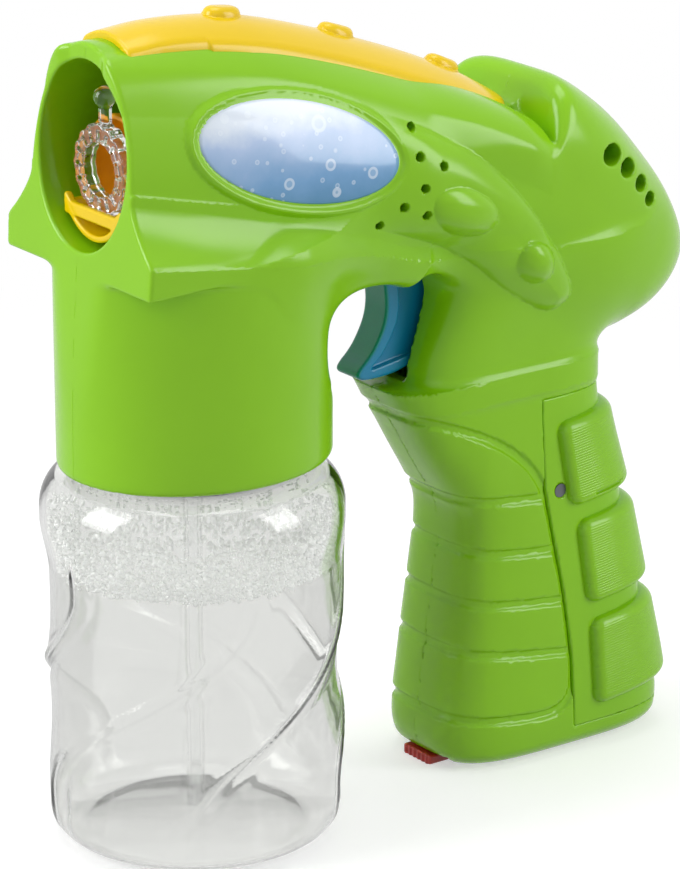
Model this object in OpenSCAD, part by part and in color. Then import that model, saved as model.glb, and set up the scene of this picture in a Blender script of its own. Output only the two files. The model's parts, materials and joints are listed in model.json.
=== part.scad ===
// Battery bubble blower: a clamshell gun body standing on its screw-on bottle.
// Millimetres. Z is up, the nose points to -X, the bottle's axis is the Z axis and the floor is z = 0.

/* [Bottle] */
// outer radius of the bottle's body
bottle_r = 31.6; // [29:0.1:33]
// height of the bottle's flat shoulder above the floor
shoulder_z = 80.4; // [78:0.1:80.6]
// thickness of the bottle's wall
bottle_wall = 1.2; // [0.8:0.1:2]
// number of twisted flutes around the bottle
flutes = 10; // [6:1:14]
// depth of a flute
flute_depth = 0.8; // [0:0.1:1.5]
// turn of the flutes over the bottle's height in degrees
flute_turn = 80; // [0:5:140]
// outer radius of the neck under its thread
neck_r = 15.4; // [14:0.1:16]
// pitch of the neck's thread
thread_pitch = 4; // [3:0.1:5]
// height of the liquid above the floor
liquid_z = 60; // [20:1:66]

/* [Body] */
// wall thickness of the two housing halves
wall = 2; // [1.5:0.1:2.6]
// position of the flat front of the nose along X
nose_x = -26.2; // [-28:0.1:-25]
// half width of the nose's oval mouth
mouth_w = 15.8; // [13:0.1:16]
// half height of the mouth
mouth_h = 19.2; // [17:0.1:19.4]
// height of the mouth's centre
mouth_z = 149.9; // [149:0.1:150]
// half length of the bottle collar along X
collar_a = 29.6; // [28:0.1:31]
// half width of the collar along Y
collar_b = 25.8; // [25:0.1:28]
// height of the collar's lower edge
collar_z = 81.5; // [81.5:0.1:84]
// height of the grip's base above the floor
base_z = 1; // [0.6:0.1:3]
// half width of the top rail
rail_w = 9.3; // [7:0.1:10]
// running gap between pieces that move past each other
gap = 0.4; // [0.3:0.05:0.8]

/* [Trigger] */
// trigger pivot along X
pivot_x = 52.5; // [51:0.1:54]
// trigger pivot height
pivot_z = 120.4; // [120:0.1:121]
// half width of the trigger
trigger_w = 4.2; // [3.5:0.1:5]
// radius of the trigger's pin
pin_r = 1.5; // [1:0.1:2]

/* [Drive] */
// gear module
gear_m = 0.6; // [0.58:0.01:0.64]
// teeth of the motor pinion
pinion_teeth = 10; // [10:1:12]
// teeth of the large idler wheel
idler_teeth = 32; // [32:1:34]
// teeth of the small idler wheel
small_teeth = 12; // [12:1:14]
// teeth of the pump gear
pump_teeth = 30; // [28:1:32]
// motor axis along X
motor_x = 90; // [89:0.1:91]
// motor axis height
motor_z = 121; // [120:0.1:122]
// pump axis along X
pump_x = 68; // [67.4:0.1:68.4]
// pump axis height
pump_z = 131; // [130.6:0.1:131.4]
// radius of the motor can
motor_r = 10.2; // [9:0.1:10.4]
// length of the motor can
motor_len = 10; // [8:0.1:10.2]
// radius of the motor shaft
shaft_r = 1; // [0.75:0.05:1.5]
// radius of the blower's wheel
fan_r = 11; // [9:0.1:11.2]
// number of blower blades
blades = 12; // [8:1:14]

/* [Power] */
// radius of a battery cell
cell_r = 7.2; // [7:0.05:7.25]
// length of a battery cell
cell_len = 50.5; // [49:0.1:50.5]

/* [Hidden] */
green = [0.52, 0.76, 0.12];
yellow = [0.93, 0.78, 0.02];
blue = [0.05, 0.45, 0.66];
red = [0.75, 0.2, 0.14];
clear = [0.86, 0.93, 0.95];
white = [0.92, 0.92, 0.9];
steel = [0.7, 0.71, 0.73];
black = [0.12, 0.12, 0.13];
liquid_blue = [0.75, 0.88, 0.92];
$fn = 48;

// Key stations: position, then value. They are joined by smooth curves.
head_top = [[nose_x, 171.6], [-10, 171.6], [3, 171], [13, 169.4], [27, 165.2], [42, 159.8], [55, 154.6],
  [64, 151.2], [72, 149.2], [79, 149.6], [85, 151], [93, 147.2], [101, 141.8], [108, 135.6], [115, 127.6], [120, 119.8],
  [123.6, 112], [125, 107.2]];
head_low = [[nose_x, 124], [0, 121], [30, 117], [56, 115.4], [76, 104], [92, 95], [104, 91.8], [110, 93],
  [116, 96.2], [121, 100.8], [124, 104.4], [125, 106]];
head_w = [[nose_x, 17.5], [-10, 19.6], [12, 21.6], [36, 22.6], [60, 22.6], [85, 22.4], [97, 21.4], [106, 19.6],
  [114, 16.4], [120, 11.8], [123.6, 6.6], [125, 1]];
head_mid = [[nose_x, 0.34], [10, 0.4], [50, 0.46], [90, 0.48], [125, 0.48]];
grip_front = [[base_z, 60.6], [4, 58.4], [9, 57.6], [20, 59], [34, 61], [44, 62.4], [52, 63.4], [58, 63],
  [63, 60.4], [67.5, 57.6], [72, 54.9], [77, 52], [81.5, 49.2], [88, 45.4]];
grip_rear = [[base_z, 116.4], [4, 118], [10, 118], [32, 112.8], [54.5, 107.4], [76, 101.6], [88, 100.4]];
grip_w = [[base_z, 15.2], [4, 16.9], [27, 16.6], [45, 15.6], [58, 15], [72, 14.6], [88, 14.2]];
neck_front = [[84, 51], [93, 51.4], [101, 53.8], [108, 55.6], [116, 56]];
neck_rear = [[84, 99.4], [94, 100.4], [116, 106]];
neck_w = [[84, 13.4], [96, 15.2], [106, 17.6], [116, 19.6]];
rail_top = [[-19.4, 173.2], [-9, 174], [3, 173.4], [13, 171.9], [27.5, 167.7], [42.5, 162.5], [55.4, 157.3],
  [66, 152.4], [74, 148.2], [79, 144.8]];
crease = [[nose_x, 143], [-12, 140], [22, 131], [40, 123]];
wing_w = [[nose_x, 26.8], [0, 26], [20, 25.2], [40, 22.4]];
wing_z = [[nose_x, 125], [0, 124.4], [20, 122], [40, 118]];
wing_drop = [[nose_x, 7], [0, 6], [20, 4], [40, 1.2]];
head_n = 2.1;
grip_n = 3.6;

ring_x = -19.9;
bulkhead_x = 1;
tray_x = -23.2;
tray_z = mouth_z - mouth_h + 10;
ring_z = tray_z + 4.7;
stem = 5.7;
ring_r = 9;
inlet_z = ring_z + ring_r + stem;
mesh_a = gear_m * (pinion_teeth + idler_teeth) / 2;
mesh_b = gear_m * (small_teeth + pump_teeth) / 2;
span = sqrt(pow(motor_x - pump_x, 2) + pow(motor_z - pump_z, 2));
along = (mesh_a * mesh_a - mesh_b * mesh_b + span * span) / (2 * span);
aside = sqrt(mesh_a * mesh_a - along * along);
idler_x = motor_x + (along * (pump_x - motor_x) + aside * (pump_z - motor_z)) / span;
idler_z = motor_z + (along * (pump_z - motor_z) - aside * (pump_x - motor_x)) / span;
angle_a = atan2(idler_z - motor_z, idler_x - motor_x);
angle_b = atan2(pump_z - idler_z, pump_x - idler_x);
plate_y = 5.5;
plate_t = 1.5;
plate_top = plate_y + plate_t;
plate_brow = 141.2;
bed = 1.3;
rail_fit = 0.25;
board_y = 16.8;
neck_top = 101;
thread_depth = 1.4;
socket_r = neck_r + thread_depth + 3.6;
socket_top = 107;
cells_x = [73.4, 88.4];
scoop = [35.4, 103.4];
scoop_r = 12.3;
cell_z = 5.6;
door_line = [[80.4, 82], [88.6, 6]];
pad_line = [[82.6, 80], [93.8, 10]];
door_hinge = [118.2, 7];
hinge_r = 1.1;
latch = [85.4, 60.7];
screws = [[20, 162], [26, 122.5], [56, 146.5], [116, 111], [80, 94], [61, 73]];
plate_posts = [[88.4, 141], [101, 107]];
board_posts = [[35, 131], [47, 141]];
vents = [[93.1, 135.2, 2, 2.6], [98.1, 131.4, 1.8, 2.3], [102.4, 127.2, 1.5, 1.9], [105.2, 123.3, 1.3, 1.6]];
speaker_at = [42, 139];
speaker_y = -14.4;
speaker_holes = [[40.4, 149.1], [40.5, 143.4], [45.9, 140.8], [41.3, 137], [36.7, 133.5], [42.2, 131.1],
  [32.1, 130.1]];
badge_at = [12.2, 148.2];
badge_a = 23.2;
badge_b = 10.4;
badge_tilt = -14;
pads = [[80, 57.2], [55.4, 34.6], [32.8, 10.8]];

// the sub-part to build, or all

// Smooth curve through key stations.
function spot(x, k, i = 0) = (i >= len(k) - 2 || x <= k[i + 1][0]) ? i : spot(x, k, i + 1);
function rise(k, i) =
  let (a = max(i - 1, 0), b = min(i + 1, len(k) - 1))
  (k[b][1] - k[a][1]) / (k[b][0] - k[a][0]);
function smooth(x, k) =
  let (i = spot(x, k), h = k[i + 1][0] - k[i][0], t = min(1, max(0, (x - k[i][0]) / h)))
  let (m = rise(k, i) * h, n = rise(k, i + 1) * h)
  k[i][1] * (2 * pow(t, 3) - 3 * t * t + 1) + m * (pow(t, 3) - 2 * t * t + t)
  + k[i + 1][1] * (3 * t * t - 2 * pow(t, 3)) + n * (pow(t, 3) - t * t);

// Half width of the head's skin at a point of its side view.
function head_y(x, z) =
  let (t = smooth(x, head_top), b = smooth(x, head_low), c = b + (t - b) * smooth(x, head_mid))
  let (u = z > c ? (z - c) / (t - c) : (c - z) / (c - b))
  smooth(x, head_w) * pow(max(0, 1 - pow(min(u, 1), head_n)), 1 / head_n);
function stack_y(x, z, front, rear, width) =
  let (f = smooth(z, front), r = smooth(z, rear), u = abs(2 * x - f - r) / (r - f))
  smooth(z, width) * pow(max(0, 1 - pow(min(u, 1), grip_n)), 1 / grip_n);
function side_y(x, z) = max(z > 92 ? head_y(x, z) : 0,
  z < 88 ? stack_y(x, z, grip_front, grip_rear, grip_w) : 0,
  z > 85 && z < 115 ? stack_y(x, z, neck_front, neck_rear, neck_w) : 0);

// Where a boss of radius r starts, so that its whole end stays in the skin.
function boss_y(x, z, r) = 0.7 - min([for (d = [[r, 0], [-r, 0], [0, r], [0, -r]]) side_y(x + d[0], z + d[1])]);

// One half of an oval from pole to pole on the -Y side, as [across, up] from its centre.
function half_oval(w, up, low, n, steps) = [for (i = [0:steps])
  let (a = 90 - 180 * i / steps, c = cos(a), s = sin(a))
  [-w * pow(max(c, 0), 2 / n), (s > 0 ? up : low) * sign(s) * pow(abs(s), 2 / n)]];
function oval(a, b, steps = 40) = [for (i = [0:steps - 1]) [a * cos(360 * i / steps), b * sin(360 * i / steps)]];

// Solid between rings of equal length, each a list of points.
module loft(rings) {
  n = len(rings[0]);
  m = len(rings);
  sides = [for (i = [0:m - 2]) for (j = [0:n - 1])
    let (a = i * n + j, b = i * n + (j + 1) % n)
    each [[a, b, b + n], [a, b + n, a + n]]];
  first = [for (j = [1:n - 2]) [0, j + 1, j]];
  last = [for (j = [1:n - 2]) [(m - 1) * n, (m - 1) * n + j, (m - 1) * n + j + 1]];
  points = [for (r = rings) each r];
  faces = concat(sides, first, last);
  outward = [for (f = faces) points[f[0]] * cross(points[f[1]], points[f[2]])] * [for (f = faces) 1];
  polyhedron(points = points, faces = outward > 0 ? [for (f = faces) [f[0], f[2], f[1]]] : faces, convexity = 6);
}

// Left half of the head, grown by off and reaching across the middle by over.
tail_x = 97;
module head_half(off, over, from, steps) {
  long = head_top[len(head_top) - 1][0] - tail_x;
  tail = [for (a = [0, 8, 16, 24, 32, 40, 48, 56, 64, 72, 80, 90]) long * sin(a)];
  stops = [for (x = [from:6:tail_x - 3]) [x, x]];
  ends = [for (t = tail) [tail_x + t, tail_x + t + min(off, 0) * t / long]];
  loft([for (e = concat(stops, ends))
    let (t = smooth(e[0], head_top), b = smooth(e[0], head_low), c = b + (t - b) * smooth(e[0], head_mid))
    let (w = max(smooth(e[0], head_w) + off, 0.4), up = max(t - c + off, 0.4), low = max(c - b + off, 0.4), x = e[1])
    concat([for (p = half_oval(w, up, low, head_n, steps)) [x, p[0], c + p[1]]],
      over > 0 ? [[x, over, c - low], [x, over, c + up]] : [])]);
}

// Left half of a grip section stack along Z.
module grip_half(front, rear, width, zs, off, over, steps) {
  loft([for (z = zs)
    let (f = smooth(z, front) - off, r = smooth(z, rear) + off, w = smooth(z, width) + off)
    concat([for (p = half_oval(w, (r - f) / 2, (r - f) / 2, grip_n, steps)) [(f + r) / 2 + p[1], p[0], z]],
      over > 0 ? [[f, over, z], [r, over, z]] : [])]);
}
module lower_grip(off, over, low, high, steps = 14) {
  zs = concat([low], [for (z = [5, 12, 20, 28, 36, 44, 50, 56, 61, 66, 72, 78, 83]) if (z > low + 1 && z < high - 1) z],
    [high]);
  grip_half(grip_front, grip_rear, grip_w, zs, off, over, steps);
}
module upper_grip(off, over, low, high) {
  grip_half(neck_front, neck_rear, neck_w, [low, 95, 105, high], off, over, 12);
}

// Flared skirt under the head, left half.
module skirt_half() {
  xs = [nose_x, -18, -8, 2, 12, 21, 30, 39];
  loft([for (x = xs)
    let (c = smooth(x, crease), e = smooth(x, wing_w), z = smooth(x, wing_z), a = head_y(x, c) - 0.4)
    let (r = z + smooth(x, wing_drop))
    [[x, 0, c + 1], [x, -a, c + 0.6], [x, -a - 0.25 * (e - a), c - 0.5 * (c - r)],
      [x, -a - 0.6 * (e - a), c - 0.82 * (c - r)], [x, -e, r], [x, -e, z], [x, 0.8 - e, z - 1.6], [x, 0, z - 1.6]]]);
}

// Side-view shape carried from y0 to y1.
module slab(y0, y1) {
  translate([0, y1, 0]) rotate([90, 0, 0]) linear_extrude(y1 - y0) children();
}
module rod(x, z, r, y0, y1) {
  translate([x, y1, z]) rotate([90, 0, 0]) cylinder(r = r, h = y1 - y0);
}
module block(x0, x1, y0, y1, z0, z1) {
  translate([x0, y0, z0]) cube([x1 - x0, y1 - y0, z1 - z0]);
}
// Front-view shape carried from x0 to x1, with Y across and Z up.
module run(x0, x1) {
  translate([x0, 0, 0]) rotate([90, 0, 90]) linear_extrude(x1 - x0) children();
}
module limb(x0, x1, y, z, r) {
  translate([x0, y, z]) rotate([0, 90, 0]) cylinder(r = r, h = x1 - x0);
}

// Ridge of a screw thread, standing out (or in, with depth below zero) from radius r.
module ridge(r, depth, z0, turns) {
  steps = ceil(turns * 24);
  loft([for (i = [0:steps])
    let (a = 360 * turns * i / steps, z = z0 + thread_pitch * turns * i / steps)
    let (grow = min(1, min(i, steps - i) / 3 + 0.15), q = r + depth * grow, root = r - sign(depth) * 0.4)
    let (prof = depth > 0
      ? [[root, -0.85], [q, -0.45], [q, 0.45], [root, 0.85]]
      : [[root, 0.85], [q, 0.45], [q, -0.45], [root, -0.85]])
    [for (p = prof) [p[0] * cos(a), p[0] * sin(a), z + p[1]]]]);
}

// Involute gear outline.
function roll(rb, r) = let (a = acos(min(1, rb / r))) tan(a) * 180 / PI - a;
function gear_points(teeth, slack) =
  let (rp = gear_m * teeth / 2, rb = rp * cos(20), ra = rp + 0.85 * gear_m, rf = rp - 1.25 * gear_m)
  let (r0 = max(rb, rf), half = 90 / teeth - slack / rp * 90 / PI + roll(rb, rp))
  let (radii = [r0, r0 + 0.35 * (ra - r0), r0 + 0.7 * (ra - r0), ra])
  [for (i = [0:teeth - 1]) let (c = 360 * i / teeth)
    each concat(
      [[rf * cos(c - half - 1), rf * sin(c - half - 1)]],
      [for (r = radii) let (a = c - half + roll(rb, r)) [r * cos(a), r * sin(a)]],
      [for (j = [3:-1:0]) let (r = radii[j], a = c + half - roll(rb, r)) [r * cos(a), r * sin(a)]],
      [[rf * cos(c + half + 1), rf * sin(c + half + 1)]])];
module wheel(teeth, turn) {
  rotate(turn) polygon(gear_points(teeth, 0.24));
}

// Hose along a list of points.
module hose(path, r) {
  for (i = [0:len(path) - 2]) hull() {
    translate(path[i]) sphere(r = r, $fn = 8);
    translate(path[i + 1]) sphere(r = r, $fn = 8);
  }
}

module badge_plan(a, b) {
  translate(badge_at) rotate(badge_tilt) polygon(oval(a, b));
}
module leaf_plan() {
  polygon([[29.4, 154.1], [37.8, 151.3], [47.1, 147], [56.3, 141.3], [64.8, 133.8], [73.1, 123.9], [79.4, 114.4],
    [83.8, 106.9], [81.7, 103.6], [77.8, 103.4], [71.1, 106.9], [65.5, 110.6], [59, 116.4], [51, 121.6],
    [42.6, 125.2], [36, 128], [36.6, 138], [33, 147]]);
}
module dome_plan() {
  translate([51.6, 131]) rotate(-30) polygon(oval(9.4, 6.3, 28));
  translate([71.2, 116]) rotate(-58) polygon(oval(6.2, 4.6, 24));
}
module door_plan(grow) {
  polygon([door_line[0] + [-grow, grow], [130, door_line[0][1] + grow], [130, door_line[1][1] - grow],
    door_line[1] + [-grow, -grow]]);
}
module mouth_plan() {
  translate([0, mouth_z]) polygon(oval(mouth_w, mouth_h, 48));
}

// Outer form of the left half.
module skin_half() {
  head_half(0, 0, nose_x, 16);
  skirt_half();
  lower_grip(0, 0, base_z, 88);
  upper_grip(0, 0, 85, 115);
  difference() {
    union() {
      intersection() {
        translate([0, 0, collar_z]) linear_extrude(44) polygon(oval(collar_a, collar_b, 48));
        block(-40, 40, -40, 0, 70, 130);
      }
      slab(-13, 0) polygon([[20, 119], [20, 100], [40, 104], [40, 119]]);
    }
    slab(-40, 1) translate(scoop) circle(r = scoop_r);
  }
  intersection() {
    head_half(1.1, 0, nose_x, 14);
    slab(-40, 0) difference() {
      union() {
        leaf_plan();
        badge_plan(badge_a + 1.6, badge_b + 1.6);
      }
      badge_plan(badge_a + 0.15, badge_b + 0.15);
    }
  }
  intersection() {
    head_half(2.4, 0, nose_x, 14);
    slab(-40, 0) dome_plan();
  }
}

// Room inside the left half.
module room_half() {
  run(nose_x - 1, bulkhead_x - 3) mouth_plan();
  difference() {
    head_half(-wall, 2, bulkhead_x + 1, 12);
    rail_body(bed, 20);
  }
  lower_grip(-wall, 2, base_z + 2, 88 - wall, 12);
  upper_grip(-wall, 2, 83, 117);
  translate([0, 0, collar_z - 1]) linear_extrude(9.5) polygon(oval(collar_a - wall, collar_b - wall, 48));
  translate([0, 0, collar_z - 1]) cylinder(r = socket_r + 0.2, h = socket_top + 1 - collar_z);
  translate([0, 0, socket_top - 1]) cylinder(r = socket_r - 2.2, h = 126.4 - socket_top);
  slab(-trigger_w - gap, 1) polygon([[36, 89.2], [66.5, 89.2], [66.5, 116], [60, 125], [42, 125], [36, 117]]);
  slab(-30, 2) door_plan(gap);
  block(56, 65, -8.2, 2, 0, 2.6);
  block(61.8, 64.4, -5.2, 2, 0, 4);
}

// Both halves share their form, and differ in the holes along the sides.
module half() {
  difference() {
    union() {
      difference() {
        skin_half();
        room_half();
      }
      for (s = screws) rod(s[0], s[1], 3, boss_y(s[0], s[1], 3), 0);
      rod(pivot_x, pivot_z, 3.4, boss_y(pivot_x, pivot_z, 3.4), -trigger_w - gap);
      rod(72.5, 98, 2.4, boss_y(72.5, 98, 2.4), -9.8);
    }
    rod(pivot_x, pivot_z, pin_r, -9.5, 1);
    rail_body(rail_fit, 20);
    for (v = vents) translate([v[0], 0, v[1]]) rotate([90, 0, 0])
      linear_extrude(40) rotate(-38) polygon(oval(v[2], v[3], 20));
    limb(bulkhead_x - 5, bulkhead_x + 5, 0, ring_z, 6.1);
    limb(bulkhead_x - 5, bulkhead_x + 5, 0, inlet_z, 2.3);
    translate([-6, 0, 120]) cylinder(r = 3.3, h = 12);
  }
}

// The left half also carries the speaker's seat and the hook for the door's screw.
module housing_left() {
  x = speaker_at[0];
  z = speaker_at[1];
  color(green) difference() {
    union() {
      half();
      difference() {
        rod(x, z, 12, boss_y(x, z, 12), speaker_y);
        rod(x, z, 9.6, -30, 0);
      }
      difference() {
        union() {
          block(74, 88, -12.2, -10, latch[1] - 5, latch[1] + 1);
          block(74, door_line[0][0] + 0.6, -14.2, -10, latch[1] - 5, latch[1] + 1);
        }
        block(latch[0] - 1.3, 90, -15, -9, latch[1] - 1.3, latch[1] + 5);
      }
    }
    for (s = screws) rod(s[0], s[1], 1.1, -7.6, 1);
    for (s = speaker_holes) rod(s[0], s[1], 1.1, -30, -17.6);
  }
}

// The right half also carries the posts of the gear plate and the sound board.
module housing_right() {
  color(green) difference() {
    union() {
      mirror([0, 1, 0]) half();
      for (p = plate_posts) rod(p[0], p[1], 3, plate_top, -boss_y(p[0], p[1], 3));
      for (p = board_posts) rod(p[0], p[1], 2, board_y, -boss_y(p[0], p[1], 2));
    }
    for (s = screws) {
      rod(s[0], s[1], 1.6, -1, 40);
      rod(s[0], s[1], 2.9, 4, 40);
    }
    for (p = plate_posts) rod(p[0], p[1], 1.1, plate_top - 1, 12);
  }
}

// Rail form, grown by off for its seat.
module rail_body(off, up = 0) {
  xs = [-19.4, -10, -1, 8, 18, 28, 38, 48, 58, 65, 71, 76, 78.6];
  loft([for (i = [0:len(xs) - 1])
    let (x = xs[i], e = max(0, (x - 58) / 21), w = rail_w * sqrt(max(0.02, 1 - e * e)) + off)
    let (z = smooth(x, rail_top), q = x + (i == 0 ? -off : (i == len(xs) - 1 ? off : 0)))
    let (crown = i == 0 && up > 0 ? q - 0.7 : q)
    concat([for (u = [-1:0.25:1]) [crown, u * w, z + up - 4.2 * pow(u * w / rail_w, 2)]],
      [for (u = [1:-0.5:-1]) [q, u * w, z - 4.2 * pow(u * w / rail_w, 2) - 2.4 - off]])]);
}
module top_rail() {
  color(yellow) union() {
    rail_body(0);
    for (x = [8.2, 36.2, 63.4]) translate([x, 0, smooth(x, rail_top) - 0.6])
      rotate([0, -atan(smooth(x + 1, rail_top) - smooth(x, rail_top)), 0])
      scale([4.6, 3, 1]) cylinder(r1 = 1, r2 = 0.75, h = 2.4, $fn = 12);
  }
}

module badge_half() {
  difference() {
    intersection() {
      head_half(0.6, 0, nose_x, 16);
      slab(-40, -4) badge_plan(badge_a, badge_b);
    }
    head_half(0.12, 2, nose_x, 16);
  }
}
module badge_left() {
  color(clear) badge_half();
}
module badge_right() {
  color(clear) mirror([0, 1, 0]) badge_half();
}

module trigger() {
  color(blue) difference() {
    slab(-trigger_w, trigger_w) union() {
      polygon([[45.6, 115], [46.4, 110], [46.8, 106], [46.2, 102.4], [44.7, 99.2], [42.6, 96], [39.6, 93.2],
        [39.8, 91.8], [42, 91], [50, 91.2], [59.6, 95.4], [59.6, 101.6], [61, 104], [61, 112], [56, pivot_z],
        [49, pivot_z]]);
      translate([pivot_x, pivot_z]) circle(r = 3.4);
    }
    rod(pivot_x, pivot_z, pin_r + 0.06, -10, 10);
  }
}
module trigger_pin() {
  color(steel) rod(pivot_x, pivot_z, pin_r, -9.5, 9.5);
}
module trigger_spring() {
  turns = 5;
  steps = turns * 12;
  color(steel) loft([for (i = [0:steps])
    let (a = 360 * turns * i / steps, x = 60.1 + 11 * i / steps)
    [for (k = [0:4]) let (b = 72 * k, r = 2.7 + 0.35 * cos(b))
      [x + 0.35 * sin(b), r * cos(a), 98.5 + r * sin(a)]]]);
}
module trigger_switch() {
  color(black) union() {
    block(65, 71, -3, 3, 102.6, 111.6);
    block(64.4, 65.2, -1.2, 1.2, 106, 109);
    block(71.6, 73.4, -9.8, 9.8, 93, 112);
    block(70.8, 71.8, -3, 3, 102.6, 111.6);
  }
}

module bubble_ring() {
  color(clear) union() {
    difference() {
      limb(ring_x - 1.6, ring_x + 1.6, 0, ring_z, ring_r);
      limb(ring_x - 3, ring_x + 3, 0, ring_z, 5.6);
      for (i = [0:15]) translate([ring_x - 1.6, 0, ring_z]) rotate([22.5 * i, 0, 0])
        block(-1, 0.8, -0.5, 0.5, 4, 7.8);
    }
    block(ring_x - 1, ring_x + 1.4, -1.2, 1.2, ring_z + ring_r - 1, inlet_z);
    limb(ring_x - 1.4, ring_x + 1.6, 0, inlet_z, 2.3);
    limb(ring_x, bulkhead_x + 4, 0, inlet_z, 1.5);
  }
}

module drip_tray() {
  color(yellow) union() {
    difference() {
      run(tray_x, bulkhead_x - 3.2) difference() {
        translate([0, tray_z]) circle(r = 9.6);
        translate([-12, tray_z - 3]) square([24, 14]);
      }
      run(tray_x - 1, bulkhead_x - 4.6) difference() {
        translate([0, tray_z]) circle(r = 8.2);
        translate([-12, tray_z]) square([24, 14]);
      }
      translate([-6, 0, 118]) cylinder(r = 2.1, h = 16);
    }
    run(tray_x, tray_x + 1.4) difference() {
      translate([-8.9, tray_z - 5.4]) square([17.8, 2.4]);
      translate([0, tray_z - 1.2]) circle(r = 3);
    }
    difference() {
      limb(-14, bulkhead_x - 3, 0, ring_z, 7.4);
      limb(-15, bulkhead_x - 2, 0, ring_z, 6);
    }
    difference() {
      translate([-6, 0, 105]) cylinder(r = 3, h = tray_z - 114);
      translate([-6, 0, 104]) cylinder(r = 2.1, h = 30);
    }
  }
}

fan_rim = fan_r + 2.6;
duct_x = motor_x - 16;
duct_z = motor_z + 7.4;
duct_y = -7.7;
duct_path = [[duct_x, duct_y, duct_z], [60, duct_y, 132], [40, 0, 140], [bulkhead_x + 2, 0, ring_z],
  [bulkhead_x - 4, 0, ring_z]];
module duct_form(r) {
  for (i = [0:len(duct_path) - 2]) hull() {
    translate(duct_path[i]) rotate([0, 90, 0]) cylinder(r = r, h = 0.2, center = true, $fn = 20);
    translate(duct_path[i + 1]) rotate([0, 90, 0]) cylinder(r = r, h = 0.2, center = true, $fn = 20);
  }
}
module air_duct() {
  color(white) difference() {
    duct_form(6);
    duct_form(5);
    block(duct_x, duct_x + 3, -20, 5, 120, 145);
    block(bulkhead_x - 6, bulkhead_x - 3.9, -8, 8, 130, 155);
  }
}

fan_stays = [-60, -140, 20];
module fan_housing() {
  color(white) difference() {
    union() {
      rod(motor_x, motor_z, fan_rim, -14, -1.4);
      block(duct_x, motor_x, -14, -1.4, duct_z - 6.2, duct_z + 5.8);
      for (a = fan_stays) rod(motor_x + 12 * cos(a), motor_z + 12 * sin(a), 1.5, -2, plate_y);
    }
    rod(motor_x, motor_z, fan_rim - 1.2, -15, -2.6);
    block(duct_x - 1, motor_x, -12.8, -2.6, duct_z - 5, duct_z + 4.6);
    rod(motor_x, motor_z, shaft_r + 2, -5, 0);
  }
}
module fan_cover() {
  color(white) difference() {
    rod(motor_x, motor_z, fan_rim, -15.2, -14);
    rod(motor_x, motor_z, 7, -16, -13);
  }
}
module impeller() {
  color(white) difference() {
    union() {
      rod(motor_x, motor_z, fan_r, -4.4, -3.4);
      rod(motor_x, motor_z, 3.2, -12.6, -3.4);
      for (i = [0:blades - 1]) translate([motor_x, 0, motor_z]) rotate([0, 360 * i / blades, 0])
        translate([0.6 * fan_r, 0, 0]) rotate([0, 28, 0]) block(0, 0.38 * fan_r, -12.6, -4, -0.4, 0.4);
    }
    rod(motor_x, motor_z, shaft_r, -14, 0);
  }
}
module motor() {
  color(steel) difference() {
    union() {
      rod(motor_x, motor_z, motor_r, plate_top, plate_top + motor_len);
      rod(motor_x, motor_z, 3, plate_y, plate_top);
    }
    rod(motor_x, motor_z, shaft_r + 0.05, 0, plate_top + motor_len - 1.2);
  }
}
module motor_shaft() {
  color(steel) rod(motor_x, motor_z, shaft_r, -12.6, plate_top + motor_len - 1.5);
}
module motor_pinion() {
  color(yellow) translate([motor_x, 0, motor_z]) difference() {
    slab(1, 4.6) wheel(pinion_teeth, angle_a);
    rod(0, 0, shaft_r, 0, 6);
  }
}
module idler_gear() {
  color(white) translate([idler_x, 0, idler_z]) difference() {
    union() {
      slab(3, 4.6) wheel(idler_teeth, angle_a + 180 + 180 / idler_teeth);
      slab(0.6, 3.2) wheel(small_teeth, angle_b);
    }
    rod(0, 0, shaft_r + 0.06, 0, 6);
  }
}
module idler_axle() {
  color(steel) rod(idler_x, idler_z, shaft_r, 0.2, plate_top);
}
module pump_gear() {
  color(white) union() {
    translate([pump_x, 0, pump_z]) slab(0.6, 2.4) wheel(pump_teeth, angle_b + 180 + 180 / pump_teeth);
    rod(pump_x, pump_z, 1.5, 2, 15.6);
  }
}
roller_at = [for (a = [90, 210, 330]) [pump_x + 5 * cos(a), pump_z + 5 * sin(a)]];
hose_r = 8.6;
hose_y = 11.7;
module pump_rotor() {
  color(blue) difference() {
    union() {
      rod(pump_x, pump_z, 2.8, 8, 14.6);
      rod(pump_x, pump_z, 6.4, 8, 9.2);
      for (q = roller_at) rod(q[0], q[1], 0.9, 9, 14);
    }
    rod(pump_x, pump_z, 1.5, 7, 17);
  }
}
module pump_rollers() {
  color(white) for (q = roller_at) difference() {
    rod(q[0], q[1], 1.7, 9.4, 14);
    rod(q[0], q[1], 0.9, 9, 15);
  }
}
module cap(r0, r1, y0, y1) {
  translate([pump_x, y0, pump_z]) rotate([-90, 0, 0]) cylinder(r1 = r0, r2 = r1, h = y1 - y0);
}
module pump_housing() {
  color(white) difference() {
    union() {
      rod(pump_x, pump_z, 11.4, plate_top, 13.4);
      cap(11.4, 8, 13.4, 16.4);
    }
    rod(pump_x, pump_z, 10.2, plate_top - 1, 13);
    cap(10.2, 7.4, 13, 15.2);
    rod(pump_x, pump_z, 1.56, 15, 17);
    for (s = [-1, 1]) block(pump_x - 13, pump_x - 4, 9.4, 14, pump_z + s * 6.2 - 3.2, pump_z + s * 6.2 + 3.2);
  }
}
module pump_tube() {
  color(clear) translate([pump_x, hose_y, pump_z]) rotate([90, 0, 0])
    rotate([0, 0, -142]) rotate_extrude(angle = 284) translate([hose_r, 0]) circle(r = 1.5);
}
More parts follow.
